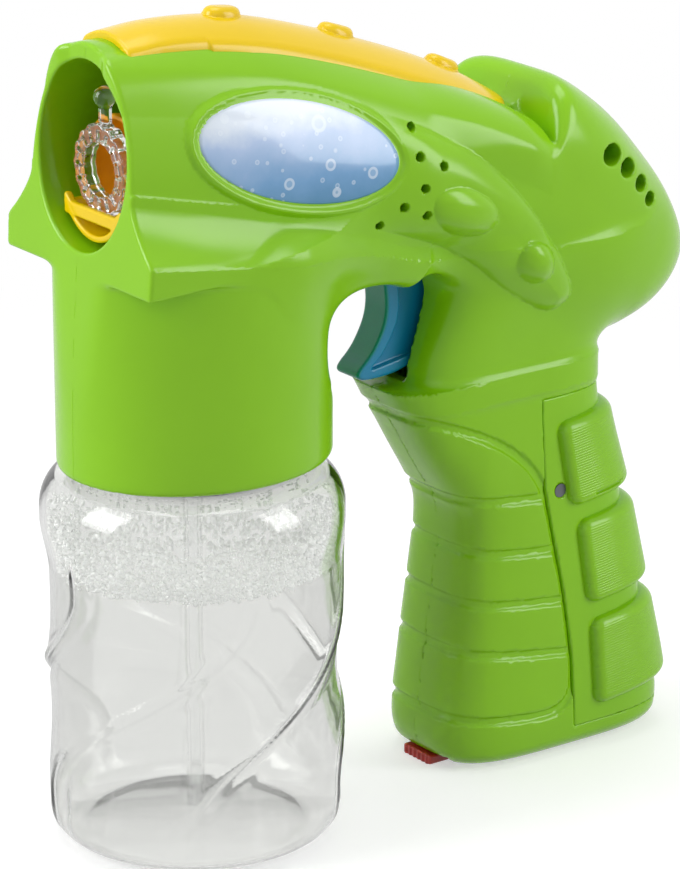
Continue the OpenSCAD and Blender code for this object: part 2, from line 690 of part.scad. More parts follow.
module gear_plate() {
  color(black) difference() {
    slab(plate_y, plate_top) hull() {
      translate([motor_x, motor_z]) circle(r = 13.6);
      translate([pump_x, pump_z]) circle(r = 11.6);
      for (p = plate_posts) translate(p) circle(r = 3);
    }
    block(62, 84, 0, 10, plate_brow, 160);
    rod(motor_x, motor_z, 3, 0, 10);
    rod(idler_x, idler_z, shaft_r, 0, 10);
    rod(pump_x, pump_z, 1.56, 0, 10);
    for (p = plate_posts) rod(p[0], p[1], 1.3, 0, 10);
  }
}
module plate_screws() {
  color(steel) for (p = plate_posts) union() {
    rod(p[0], p[1], 2.2, plate_y - 1.4, plate_y);
    rod(p[0], p[1], 1.1, plate_y - 0.2, 11.6);
  }
}

end_x = pump_x - hose_r * cos(38);
end_z = hose_r * sin(38);
module feed_tube() {
  color(clear) hose([[end_x, hose_y, pump_z + end_z], [end_x - 4, hose_y, pump_z + end_z + 3], [50, 11.4, 143.4],
    [43, 11, 147], [36, 9, 150], [28, 7.6, 152.6], [20, 6, 154.4], [13, 3.6, 156.4], [9, 1, 158.4],
    [bulkhead_x + 4.6, 0, inlet_z]], 1.6);
}
module suction_tube() {
  color(clear) hose([[end_x, hose_y, pump_z - end_z], [end_x - 4, hose_y, pump_z - end_z - 0.8], [50, 11.8, 126.8],
    [40, 11.4, 127.6], [31, 10, 128.4], [22, 8, 128], [15, 5.4, 125], [9, 3, 121], [4, 1.2, 117],
    [0.8, 0.3, 114], [0, 0, 112]], 1.6);
}
module dip_tube() {
  color(clear) difference() {
    translate([0, 0, 4.6]) cylinder(r = 2, h = 107.2);
    translate([0, 0, 4]) cylinder(r = 1.2, h = 109);
  }
}

module bottle_socket() {
  color(white) union() {
    difference() {
      translate([0, 0, 84]) cylinder(r = socket_r, h = socket_top - 84);
      translate([0, 0, 83]) cylinder(r = neck_r + thread_depth + 0.6, h = 21);
      translate([0, 0, 100]) cylinder(r = 2, h = 10);
      translate([-6, 0, 100]) cylinder(r = 3, h = 10);
    }
    ridge(neck_r + thread_depth + 0.6, -thread_depth, 88.5 + thread_pitch / 2, 2);
    difference() {
      translate([0, 0, socket_top - 1]) cylinder(r = 3.2, h = 4);
      translate([0, 0, 100]) cylinder(r = 2, h = 12);
    }
  }
}
module bottle_gasket() {
  color(black) difference() {
    translate([0, 0, neck_top]) cylinder(r = neck_r, h = 2.6);
    translate([0, 0, neck_top - 1]) cylinder(r = neck_r - 5, h = 5);
  }
}

// Bottle body, fluted where swell is above zero, shrunk by off.
body_z = [0, 1.2, 3.2, 6.4, 11, 18, 27, 36, 45, 54, 62, 68, 72.4, 75.6, 77.8, shoulder_z];
body_r = [22.6, 25.4, 27.8, 29.6, 30.5, 30.8, 30.7, 30.5, 30.4, 30.4, 30.5, 30.7, 30.7, 30, 28.4, 25.4];
module body_form(off, low, high) {
  zs = concat([low], [for (z = body_z) if (z > low + 0.6 && z < high - 0.6) z], [high]);
  keys = [for (i = [0:len(body_z) - 1]) [body_z[i], body_r[i] * bottle_r / 30.8]];
  loft([for (z = zs)
    let (r = smooth(z, keys) - off, swell = flute_depth * max(0, min(1, (z - 3) / 12)) * max(0, min(1, (76 - z) / 10)))
    [for (i = [0:flutes * 4 - 1]) let (a = 90 * i / flutes)
      let (q = r - swell * pow(sin(flutes * a / 2), 2), b = a + flute_turn * z / shoulder_z)
      [q * cos(b), q * sin(b), z]]]);
}
module bottle() {
  color(clear) union() {
    difference() {
      union() {
        body_form(0, 0, shoulder_z);
        translate([0, 0, shoulder_z - 1]) cylinder(r = neck_r, h = neck_top + 1 - shoulder_z);
        translate([0, 0, shoulder_z - 0.5]) cylinder(r = neck_r + 3, h = 2.4);
      }
      body_form(bottle_wall, bottle_wall, shoulder_z - bottle_wall);
      translate([0, 0, shoulder_z - 4]) cylinder(r = neck_r - 2, h = 40);
    }
    ridge(neck_r, thread_depth, 88.5, 2);
  }
}
module bubble_liquid() {
  color(liquid_blue) difference() {
    body_form(bottle_wall + 0.25, bottle_wall + 0.25, liquid_z);
    translate([0, 0, -1]) cylinder(r = 2 + gap, h = 100);
  }
}
module foam() {
  color(white) difference() {
    body_form(bottle_wall + 0.25, liquid_z, liquid_z + 8);
    translate([0, 0, -1]) cylinder(r = 2 + gap, h = 100);
  }
}

module speaker() {
  color(black) union() {
    rod(speaker_at[0], speaker_at[1], 11.4, speaker_y, speaker_y + 1.6);
    rod(speaker_at[0], speaker_at[1], 7, speaker_y + 1.4, speaker_y + 4.4);
  }
}
module sound_board() {
  color(green) union() {
    block(32, 50, board_y - 1.4, board_y, 128.6, 144);
    block(37, 43, board_y - 2.6, board_y - 1.2, 133, 139);
  }
}

module battery_cells() {
  color(steel) for (x = cells_x) union() {
    translate([x, 0, cell_z]) cylinder(r = cell_r, h = cell_len - 1.2);
    translate([x, 0, cell_z + cell_len - 2]) cylinder(r = 2.7, h = 2);
  }
}
module battery_contacts() {
  top = cell_z + cell_len;
  color(steel) union() {
    block(cells_x[0] - 6, cells_x[1] + 6, -5.5, 5.5, top, top + 0.8);
    block(cells_x[0] - 5, cells_x[1] + 5, -8, 8, top + 0.8, top + 2);
    for (x = cells_x) {
      block(x - 6, x + 6, -6, 6, base_z + 2, base_z + 2.8);
      translate([x, 0, base_z + 2.4]) cylinder(r1 = 5, r2 = 3, h = cell_z - base_z - 2.4);
    }
  }
}
module pad_plan() {
  lean = (pad_line[1][0] - pad_line[0][0]) / (pad_line[0][1] - pad_line[1][1]);
  for (p = pads) polygon([for (c = [[0, p[0]], [60, p[0]], [60, p[1]], [0, p[1]]])
    [c[0] + pad_line[0][0] + lean * (pad_line[0][1] - c[1]), c[1]]]);
}
module door_half() {
  difference() {
    union() {
      intersection() {
        lower_grip(0, 0, 4, 86);
        slab(-40, 0) door_plan(0);
      }
      intersection() {
        lower_grip(2, 0, 4, 86);
        slab(-40, 0) pad_plan();
      }
    }
    lower_grip(-wall, 2, 2, 88, 12);
  }
}
module battery_door() {
  color(green) difference() {
    union() {
      door_half();
      mirror([0, 1, 0]) door_half();
      rod(door_hinge[0], door_hinge[1], hinge_r, -7, 7);
    }
    rod(latch[0], latch[1], 0.9, -20, 0);
    rod(latch[0], latch[1], 1.5, -20, -13.8);
  }
}
module door_screw() {
  color(steel) union() {
    rod(latch[0], latch[1], 1.5, -14.7, -13.8);
    rod(latch[0], latch[1], 0.9, -14, -9.6);
  }
}
module power_slider() {
  color(red) union() {
    block(57.9, 64.4, -4.6, 5, 0, 2.2);
    block(62.2, 64, -1.2, 1.6, 2, 4.8);
  }
}
module power_switch() {
  color(black) difference() {
    block(61.6, 65.6, -6, 4, base_z + 2, 7.4);
    block(61.9, 64.3, -5, 2.4, 2, 5.2);
  }
}
module case_screws() {
  color(steel) for (s = screws) union() {
    rod(s[0], s[1], 2.6, 4, 6);
    rod(s[0], s[1], 1.1, -7.6, 4.2);
  }
}

housing_left();
housing_right();
top_rail();
badge_left();
badge_right();
trigger();
trigger_pin();
trigger_spring();
trigger_switch();
bubble_ring();
drip_tray();
air_duct();
fan_housing();
fan_cover();
impeller();
motor();
motor_shaft();
motor_pinion();
idler_gear();
idler_axle();
pump_gear();
pump_rotor();
pump_rollers();
pump_housing();
pump_tube();
gear_plate();
feed_tube();
suction_tube();
dip_tube();
bottle_socket();
bottle_gasket();
bottle();
bubble_liquid();
foam();
speaker();
sound_board();
battery_cells();
battery_contacts();
battery_door();
door_screw();
power_slider();
power_switch();
case_screws();
plate_screws();
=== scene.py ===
import json
import math
import bmesh
import bpy
import numpy as np
from mathutils import Matrix, Vector


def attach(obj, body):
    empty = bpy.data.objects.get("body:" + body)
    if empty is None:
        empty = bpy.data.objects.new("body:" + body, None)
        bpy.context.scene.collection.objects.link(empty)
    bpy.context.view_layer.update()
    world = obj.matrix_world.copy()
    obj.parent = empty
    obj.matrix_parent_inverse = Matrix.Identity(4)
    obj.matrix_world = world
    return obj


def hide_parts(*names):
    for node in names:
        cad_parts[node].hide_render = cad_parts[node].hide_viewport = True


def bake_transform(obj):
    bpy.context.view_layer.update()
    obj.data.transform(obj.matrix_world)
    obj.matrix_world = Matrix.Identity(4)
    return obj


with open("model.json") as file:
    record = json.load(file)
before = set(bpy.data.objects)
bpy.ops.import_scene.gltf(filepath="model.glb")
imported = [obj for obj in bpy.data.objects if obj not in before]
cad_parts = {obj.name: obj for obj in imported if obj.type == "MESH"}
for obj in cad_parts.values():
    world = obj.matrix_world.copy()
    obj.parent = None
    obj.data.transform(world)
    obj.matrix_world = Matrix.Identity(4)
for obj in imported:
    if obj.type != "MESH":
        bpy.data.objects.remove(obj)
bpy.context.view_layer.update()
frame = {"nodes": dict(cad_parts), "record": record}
nodes = frame["nodes"]
rng = np.random.default_rng(7)
scene = bpy.context.scene
TAU = 2 * math.pi
MM = 0.001  # the fields below are in millimetres, Blender's frame in metres

# Camera: the photograph's frame, and where one point of the part lies in it.
PHOTO_W, PHOTO_H = 680, 869
FOCAL, SCALE = 4300, 4.88  # pixels, and pixels per millimetre at the aimed point
AIM, AIM_PX = (0, 0, 82), (192, 454)
SENSOR = 24


def make_camera():
    turn, tilt = math.radians(36), math.radians(18.5)
    ahead = Vector((math.sin(turn) * math.cos(tilt), math.cos(turn) * math.cos(tilt),
                    -math.sin(tilt)))
    right = Vector((math.cos(turn), -math.sin(turn), 0))
    up = right.cross(ahead)
    place = Vector(AIM) - ahead * (FOCAL / SCALE)
    place = place - right * ((AIM_PX[0] - PHOTO_W / 2) / SCALE)
    place = place + up * ((AIM_PX[1] - PHOTO_H / 2) / SCALE)
    data = bpy.data.cameras.new("camera")
    data.sensor_fit = "VERTICAL"
    data.sensor_height = SENSOR
    data.lens = FOCAL / PHOTO_H * SENSOR
    data.clip_end = 20
    cam = bpy.data.objects.new("camera", data)
    scene.collection.objects.link(cam)
    basis = Matrix((right, up, -ahead)).transposed().to_4x4()
    cam.matrix_world = Matrix.Translation(place * MM) @ basis
    scene.camera = cam


make_camera()


def unit(v):
    return np.clip(v, 0, 1)


# Curves of the housing through key stations.
def curve(keys):
    """Smooth curve through (place, value) keys, level beyond both ends."""
    k = np.array(keys, float)
    xs = np.arange(k[0, 0], k[-1, 0] + 0.05, 0.1)
    n = len(k)
    before = k[np.maximum(np.arange(n) - 1, 0)]
    after = k[np.minimum(np.arange(n) + 1, n - 1)]
    slope = (after[:, 1] - before[:, 1]) / (after[:, 0] - before[:, 0])
    i = np.clip(np.searchsorted(k[:, 0], xs, side="left") - 1, 0, n - 2)
    h = k[i + 1, 0] - k[i, 0]
    t = unit((xs - k[i, 0]) / h)
    ys = (k[i, 1] * (2 * t**3 - 3 * t * t + 1) + slope[i] * h * (t**3 - 2 * t * t + t)
          + k[i + 1, 1] * (3 * t * t - 2 * t**3) + slope[i + 1] * h * (t**3 - t * t))
    return lambda x: np.interp(x, xs, ys)


FRONT = [[-32, 171.6], [-10, 171.6], [3, 171], [13, 169.4], [27, 165.2], [42, 159.8]]
head_top = curve(FRONT + [
    [55, 155.4], [64, 153.4], [72, 152.8], [80, 152.8], [85, 152], [93, 147.4], [101, 141.8],
    [108, 135.6], [115, 127.6], [120, 119.8], [123.6, 112], [125, 107.2]])
line_top = curve(FRONT + [
    [55, 154.8], [66, 150], [74, 146], [80, 143], [86, 140.2], [95, 135.6], [105, 128], [115, 119],
    [125, 107.2]])
head_low = curve([
    [-32, 124], [0, 121], [30, 118], [44, 117.6], [56, 115.4], [76, 104], [92, 95], [104, 91.8],
    [110, 93], [116, 96.2], [121, 100.8], [124, 104.4], [125, 106]])
head_w = curve([
    [-32, 17.8], [-26.2, 18.2], [-10, 19.9], [12, 21.6], [36, 22.6], [60, 22.6], [85, 22.4],
    [97, 21.4], [106, 19.6], [114, 16.4], [120, 11.8], [123.6, 6.6], [125, 1]])
head_mid = curve([[-32, 0.34], [10, 0.4], [50, 0.46], [90, 0.48], [125, 0.48]])
grip_front = curve([
    [1, 60.6], [4, 58.4], [9, 57.6], [20, 59], [34, 61], [44, 62.4], [52, 63.4], [58, 63],
    [63, 60.4], [67.5, 57.6], [72, 54.9], [77, 52], [81.5, 49.2], [88, 45.4]])
grip_rear = curve([
    [1, 116.4], [4, 118], [10, 118], [32, 112.8], [54.5, 107.4], [76, 101.6], [88, 100.4]])
grip_w = curve([[1, 15.2], [4, 16.9], [27, 16.6], [45, 15.6], [58, 15], [72, 14.6], [88, 14.2]])
neck_front = curve([[84, 51], [93, 51.4], [101, 53.8], [108, 55.6], [116, 56]])
neck_rear = curve([[84, 99.4], [94, 100.4], [116, 106]])
neck_w = curve([[84, 13.4], [96, 15.2], [106, 17.6], [116, 19.6]])
GRIP, NECK = (grip_front, grip_rear, grip_w), (neck_front, neck_rear, neck_w)
rail_crown = curve([
    [-19.4, 173.2], [-9, 174], [3, 173.5], [13, 172.1], [27.5, 168.2], [42.5, 163.2], [55.4, 158.3],
    [66, 153.5], [74, 149], [77.6, 146.6]])
crease = curve([
    [-32, 144.2], [-26.2, 142.8], [-14.9, 140.3], [-7.3, 138.6], [6.4, 135.3], [19.8, 131.5],
    [31.9, 127.1], [39.7, 124], [46.3, 122.4], [52, 122], [62, 121.6]])
wing_w = curve([
    [-32, 26.9], [-26.2, 26.8], [-3.5, 26], [8.2, 25.2], [17.3, 24.3], [26.5, 22.8], [36, 20.6],
    [44, 19.2], [50, 18.9], [56, 19], [62, 19.2]])
wing_z = curve([[-32, 125], [0, 125], [8, 122], [16, 119.5], [24, 118.2], [40, 117], [56, 114]])
wing_ridge = curve([
    [-32, 132.6], [-26.1, 131.6], [-11.8, 129.4], [-3.5, 128.1], [8.2, 126.6], [17.3, 126],
    [26.5, 124.9], [36, 122.4], [44, 119.8], [50, 118.8], [62, 118.2]])
crest_z = curve([
    [-32, 169.6], [-21.5, 168.2], [-4, 165.7], [14.4, 162.1], [31.6, 156.7], [46.2, 151.5],
    [65.4, 143.5], [79, 136.7], [90, 131]])


def smin(a, b, k):
    """The smaller of two fields, with a fillet of k where they meet."""
    h = unit(0.5 + 0.5 * (b - a) / k)
    return b + (a - b) * h - k * h * (1 - h)


def smax(a, b, k):
    """The larger of two fields, rounded by k where they meet."""
    return -smin(-a, -b, k)


def both(first, *others):
    """Where all the fields are below zero."""
    for f in others:
        first = np.maximum(first, f)
    return first


def band(v, low, high):
    """Below zero from low to high."""
    return np.maximum(low - v, v - high)


def step(t):
    t = unit(t)
    return t * t * (3 - 2 * t)


def radial(p, q):
    return np.sqrt(p**2 + q**2)


def oval(p, q, w, h, n):
    """Distance to a superellipse of half axes w and h and power n, below zero inside."""
    a, b = abs(p) / w + 1e-6, abs(q) / h + 1e-6
    an, bn = a ** (n - 1), b ** (n - 1)
    k = (an * a + bn * b) ** (1 / n)
    grad = k ** (1 - n) * np.sqrt((an / w) ** 2 + (bn / h) ** 2)
    return (k - 1) / np.maximum(grad, 1e-3)


def inside(x, z, poly):
    """Signed distance to a closed outline of the side view, above zero inside."""
    p = np.array(poly, float)
    best = np.full(np.broadcast(x, z).shape, 1e9)
    odd = np.zeros(best.shape, bool)
    for a, b in zip(p, np.roll(p, -1, 0)):
        e = b - a
        t = unit(((x - a[0]) * e[0] + (z - a[1]) * e[1]) / (e @ e))
        best = np.minimum(best, (x - a[0] - t * e[0]) ** 2 + (z - a[1] - t * e[1]) ** 2)
        if e[1] != 0:
            hit = ((a[1] > z) != (b[1] > z)) & (x < a[0] + (z - a[1]) * e[0] / e[1])
            odd = odd ^ hit
    return np.where(odd, 1, -1) * np.sqrt(best)


def soften(poly, times=2):
    """Closed outline with its corners cut round."""
    p = np.array(poly, float)
    for _ in range(times):
        q = np.roll(p, -1, 0)
        p = np.stack([0.75 * p + 0.25 * q, 0.25 * p + 0.75 * q], 1).reshape(-1, 2)
    return p


def plan_map(poly, low, high, pitch=0.16):
    """The same distance, read from a fine map of the side view."""
    xs, zs = np.arange(low[0], high[0], pitch), np.arange(low[1], high[1], pitch)
    table = inside(xs[:, None], zs[None, :], poly)

    def look(x, z):
        x, z = np.broadcast_arrays(x, z)
        u = np.clip((x - low[0]) / pitch, 0, len(xs) - 1.001)
        v = np.clip((z - low[1]) / pitch, 0, len(zs) - 1.001)
        i, j = u.astype(int), v.astype(int)
        u, v = u - i, v - j
        return ((table[i, j] * (1 - u) + table[i + 1, j] * u) * (1 - v)
                + (table[i, j + 1] * (1 - u) + table[i + 1, j + 1] * u) * v)
    return look


def turned(x, z, at, angle):
    """Side-view coordinates about a point, turned by an angle in degrees."""
    c, s = math.cos(math.radians(angle)), math.sin(math.radians(angle))
    return (x - at[0]) * c + (z - at[1]) * s, -(x - at[0]) * s + (z - at[1]) * c


LEAF = soften([
    (20, 160), (29.4, 154.1), (37.8, 151.3), (47.1, 147), (56.3, 141.3), (64.8, 133.8),
    (73.1, 123.9), (79.4, 114.4), (84.4, 106.4), (81.7, 102.8), (77.8, 102.8), (71.1, 106.9),
    (65.5, 110.6), (59, 116.4), (51, 121.6), (42.6, 125.2), (34, 128.4), (20, 133), (14, 146)])
WRAP = soften([
    (20, 90), (48.8, 82.3), (51.5, 81.5), (57.4, 79.6), (62.3, 77.6), (67.4, 75), (71.4, 72.5),
    (75.6, 69.1), (78.3, 66), (80.4, 62.4), (81.8, 59.2), (83.8, 49), (85.7, 39.3), (86.9, 30.3),
    (87.9, 22.4), (88.2, 16.4), (86.8, 12.5), (82.5, 10.6), (76.2, 10.9), (67.9, 11.7),
    (60.8, 12.4), (58, 13), (20, 17)], 1)
leaf_in = plan_map(LEAF, (8, 97), (91, 164))
wrap_in = plan_map(WRAP, (18, 4), (94, 94))
BADGE = (12.9, 148.2)
BADGE_A, BADGE_B, BADGE_TILT, BADGE_FRAME = 23.9, 10.4, -14, 2.6
# Grooves across the grip: height and lean. Vents: place and radius.
BANDS = [(61.9, 0.09), (49.9, 0.09), (38.7, 0.11), (27.6, 0.14)]
VENTS = [(93.1, 135.2, 2.25), (98.1, 131.4, 2.0), (102.4, 127.2, 1.7), (105.2, 123.3, 1.45)]
SPEAKER = [
    (40.4, 149.1), (40.5, 143.4), (45.9, 140.8), (41.3, 137), (36.7, 133.5), (42.2, 131.1),
    (32.1, 130.1)]
SCREWS = [(20, 162), (26, 122.5), (56, 146.5), (116, 111), (80, 94), (61, 73)]
# Pads of the door: top, bottom, and the front edge's place at each.
PADS = [(76.2, 56.4, 84.0, 87.5), (53.2, 33.5, 89.3, 91.8), (30.1, 9.7, 92.5, 93.7)]
# Domes on the leaf: centre, half axes, turn, height.
DOMES = [((51.6, 130.2), 9.0, 4.9, -27, 2.2), ((71.2, 116), 5.6, 4.1, -48, 1.9)]
TRIGGER_ROOM = [(36, 89.2), (66.5, 89.2), (66.5, 116), (60, 125), (42, 125), (36, 117)]
HEAD_N, GRIP_N = 2.1, 3.6  # powers of the cross-sections
REAR_X, REAR_LONG, HEAD_END = 97, 28, 125.1
TAIL_X, TAIL_LONG, TAIL_HALF, TAIL_N = 57, 20.6, 11.8, 2.4  # the rail's rounded tail
RING = (-19.9, 0, 145.4)
INLET_Z, SPOUT_X = 160.1, -6
VENT_LONG, POST_R = 1.35, 3
SEAM = 0.3  # each half passes the middle by this much, so that no slit shows


def head(x, y, z, top, off=0.0, square=0.0):
    """The body along its length, grown by off, with fuller shoulders for square."""
    if off:
        x = np.where(x > REAR_X, REAR_X + (x - REAR_X) / (1 + off / REAR_LONG), x)
    low = head_low(x)
    c = low + (head_top(x) - low) * head_mid(x)
    w = np.maximum(head_w(x) + off, 0.4)
    h = np.where(z > c, np.maximum(top(x) - c + off, 0.4), np.maximum(c - low + off, 0.4))
    return both(oval(y, z - c, w, h, HEAD_N + square * step((z - c) / 9)), x - HEAD_END)


def stack(x, y, z, limb, off=0.0):
    """A limb of the grip between its front and rear curves, grown by off."""
    front, rear, wide = limb
    f, r = front(z) - off, rear(z) + off
    return oval(x - (f + r) / 2, y, (r - f) / 2, wide(z) + off, GRIP_N)


def tent(d, reach, soft):
    """A ridge one high at d = 0, straight to nothing at reach, with a soft top."""
    return np.clip(1 - (np.sqrt(d * d + soft * soft) - soft) / reach, 0, None)


def relief(x, z):
    """How far the moulded details of the sides stand out, seen from the side."""
    x, z = np.broadcast_arrays(x, z)
    p, q = turned(x, z, BADGE, BADGE_TILT)
    badge_in = -oval(p, q, BADGE_A + BADGE_FRAME, BADGE_B + BADGE_FRAME, 2.0)
    rise = unit(badge_in / BADGE_FRAME)
    frame_up = 1.5 * (1 - (1 - rise) ** 2)
    leaf = unit(leaf_in(x, z) / 6.5)
    leaf_up = 2.2 * (1 - (1 - leaf) ** 2) ** 0.75 * step((x - 28) / 18)
    out = np.maximum(frame_up, leaf_up)
    pit = unit((badge_in - 0.9) / 1.7)
    out = out - (out - 0.35) * step(pit)
    for at, a, b, angle, high in DOMES:
        p, q = turned(x, z, at, angle)
        ball = unit(1 - (p / a) ** 2 - (q / b) ** 2)
        out = out + high * ball**0.8
    d = z - crest_z(x)
    crest = (1.0 + 0.5 * step((x - 40) / 25)) * tent(d, 8.0, 0.8) * step((79 - x) / 9)
    return out + crest * (1 - unit(out / 0.8))


def groove(d, deep):
    """Depth of a groove with rounded edges along d = 0."""
    return deep * (1 - step((abs(d) - 0.55) / 0.8))


def grip_relief(x, z):
    """Grooves and front edge of the grip's finger wrap, seen from the side."""
    x, z = np.broadcast_arrays(x, z)
    d = wrap_in(x, z)
    deep = groove(d, 0.75)
    for high, lean in BANDS:
        deep = np.maximum(deep, groove(z - high + lean * (x - 61), 0.65) * step(d / 0.6))
    edge = tent(x - 65.8 + 0.02 * (60 - z), 6.0, 0.8) * step((d + 2) / 4)
    return 0.4 * edge - deep


def skirt(x, y, z):
    """The wing round the nose, which fades into the body above the trigger."""
    c, e, low, ridge = crease(x), wing_w(x), wing_z(x), wing_ridge(x)
    foot = head_low(x)
    mid = foot + (head_top(x) - foot) * head_mid(x)
    up = np.where(c > mid, line_top(x) - mid, mid - foot)
    a = head_w(x) * np.clip(1 - (abs(c - mid) / up) ** HEAD_N, 0.01, 1) ** (1 / HEAD_N)
    reach = np.maximum(c - ridge, 2.0)
    s = unit((c - z) / reach)
    wide = a + (e - a) * (0.55 * s + 0.45 * s * s)
    slope = (e - a) * (0.55 + 0.9 * s) / reach
    side = (y - wide) / np.sqrt(1 + np.where(z > ridge, slope, 0) ** 2)
    lean = 0.05 + 0.95 * step((x + 6) / 22)
    under = (y - e + lean * (ridge - z)) / np.sqrt(1 + lean**2)
    side = smax(side, under, 1.5 + 3 * step((x + 12) / 25))
    return smax(both(smax(side, (low - z) * 0.98, 1.0), z - c - 2), x - 64, 8.0)


def collar(x, y, z):
    """The sleeve over the bottle's shoulder, with the arch towards the trigger."""
    f = oval(x - 0.8, y, 29.5, 25.7, 2.0)
    f = both(smax(f, 81.5 - z, 1.6), z - 128)
    arch = both(abs(x - 30) - 12, abs(z - 110) - 9, y - 13)
    f = smin(f, arch, 6.0)
    hole = radial(x - 35.6, z - 104.6) - 13
    return smax(f, -hole, 3.0)


def rail_wide(x):
    """Half the rail's width on the body, with its rounded tail."""
    e = np.clip((x - TAIL_X) / TAIL_LONG, 0, 0.999)
    base = np.interp(x, [-19.4, -12, -1.2, -0.8, 8, 18, TAIL_X],
                     [8.8, 9, 9.7, 10.3, 11.2, 11.4, TAIL_HALF])
    return base * (1 - e**TAIL_N) ** (1 / TAIL_N)


def scoop_edge(y):
    """Where the body drops into the scoop behind the rail's tail."""
    tail = TAIL_X + TAIL_LONG * (1 - unit(y / TAIL_HALF) ** TAIL_N) ** (1 / TAIL_N)
    return np.maximum(73.4 + 0.14 * y, tail + 0.4)


def form(x, y, z):
    """Outer skin of the housing before it is cut in pieces."""
    y = abs(y)
    ease = step((14 - y) / 10)
    square = 2.0 * step((x - 45) / 32) * step((112 - x) / 32)
    a = head(x, y, z, line_top, 0.0, square)
    a = smax(a, -smax(-a - 2.6, scoop_edge(y) - x, 1.6), 0.7)
    b = head(x, y, z, head_top, 0.0, square)
    rim = 76.3 + 0.33 * (z - 137) + unit(1 - (y / 16) ** 2)
    b = smax(b, (rim - x) * 0.8, 1.2 + 2.4 * step((z - 138) / 9))
    f = smin(a, b, 0.1 + (1.3 + 4 * ease) * step((z - 134) / 6))
    f = smin(f, skirt(x, y, z), 0.8 + 2.5 * step((x - 18) / 25))
    f = smin(f, collar(x, y, z), 2 + 8 * step((x + 4) / 16))
    front = -27.1 + (z - 125) * 0.068
    f = smax(f, front - x, 0.9)
    neck = both(stack(x, y, z, NECK), band(z, 85, 115))
    grip = both(stack(x, y, z, GRIP) - grip_relief(x, z), z - 88)
    grip = smax(grip, 1 - z, 1.6)
    f = smin(f, smin(neck, grip, 4.0), 7.0)
    return f - relief(x, z) * step((y - 5) / 4)


def door_side(x, z):
    """Above zero on the battery door's side of its parting line."""
    line = np.interp(z, [0, 12, 16.4, 22.4, 30.3, 39.3, 49, 59.2, 62.4, 82, 90],
                     [88.9, 88.4, 88.2, 87.9, 86.9, 85.7, 83.8, 81.8, 81.2, 80.4, 80])
    return np.minimum(x - line, np.minimum(82 - z, z - 6))


def hollow(x, y, z):
    """Room inside the housing."""
    h = both(head(x, y, z, line_top, -2.0), 2 - x)
    n = both(stack(x, y, z, NECK, -2.0), band(z, 83, 117))
    g = both(stack(x, y, z, GRIP, -2.2), band(z, 3, 86))
    return smin(h, smin(n, g, 3.0), 3.0)


def mouth(x, y, z):
    """The nose's opening."""
    return both(oval(y, z - 148.9, 15.8, 19.2, 2.0), x + 2)


def cuts(x, y, z, left):
    """Everything taken out of a housing half, below zero where material goes."""
    y = abs(y)
    flat = radial(x, y)
    bottle = both(oval(x, y, 27.6, 23.8, 2.0), z - 90)
    socket = np.minimum(both(flat - 20.6, z - 107.2), both(flat - 18.2, z - 125.6))
    trigger = both(-inside(x, z, TRIGGER_ROOM), y - 4.6)
    switch = both(abs(x - 60.5) - 4.5, y - 8.2, z - 2.6)
    air = radial(y, z - RING[2]) - 6.1
    feed = radial(y, z - INLET_Z) - 2.3
    bulkhead = both(np.minimum(air, feed), abs(x - 1) - 5)
    spout = both(radial(x - SPOUT_X, y) - 3.3, abs(z - 126) - 6)
    out = mouth(x, y, z)
    for cut in (bottle, socket, trigger, switch, bulkhead, spout):
        out = np.minimum(out, cut)
    r, start = (0.92, 16) if left else (2.9, 4)
    for sx, sz in SPEAKER if left else SCREWS:
        hole = radial(x - sx, z - sz) - r
        out = np.minimum(out, both(hole, start - y))
    return out


def housing(left):
    """Field of one housing half."""
    def field(x, y, z):
        skin = form(x, y, z)
        f = smax(skin, -mouth(x, y, z), 0.8)
        for vx, vz, r in VENTS:
            f = smax(f, r - radial((x - vx) / VENT_LONG, z - vz), 0.6)
        f = both(f, -hollow(x, y, z))
        for sx, sz in SCREWS:
            post = radial(x - sx, z - sz) - POST_R
            f = np.minimum(f, both(post, skin + 0.6))
        f = both(f, -cuts(x, y, z, left))
        f = smax(f, door_side(x, z) - 0.02, 0.3)
        return both(f, y - SEAM if left else -SEAM - y)
    return field


# Surface of a field, as vertices and quads, with the vertices drawn onto it.
CORNERS = np.array([(i, j, k) for i in (0, 1) for j in (0, 1) for k in (0, 1)])
EDGES = [(0, 1), (2, 3), (4, 5), (6, 7), (0, 2), (1, 3), (4, 6), (5, 7), (0, 4), (1, 5), (2, 6),
         (3, 7)]


def stations(low, high, pitch, bands=()):
    """Grid positions along one axis, closer together within the bands."""
    out = [low]
    while out[-1] < high:
        p = min([b[2] for b in bands if b[0] - pitch < out[-1] < b[1]] + [pitch])
        out.append(out[-1] + p)
    return np.array(out)


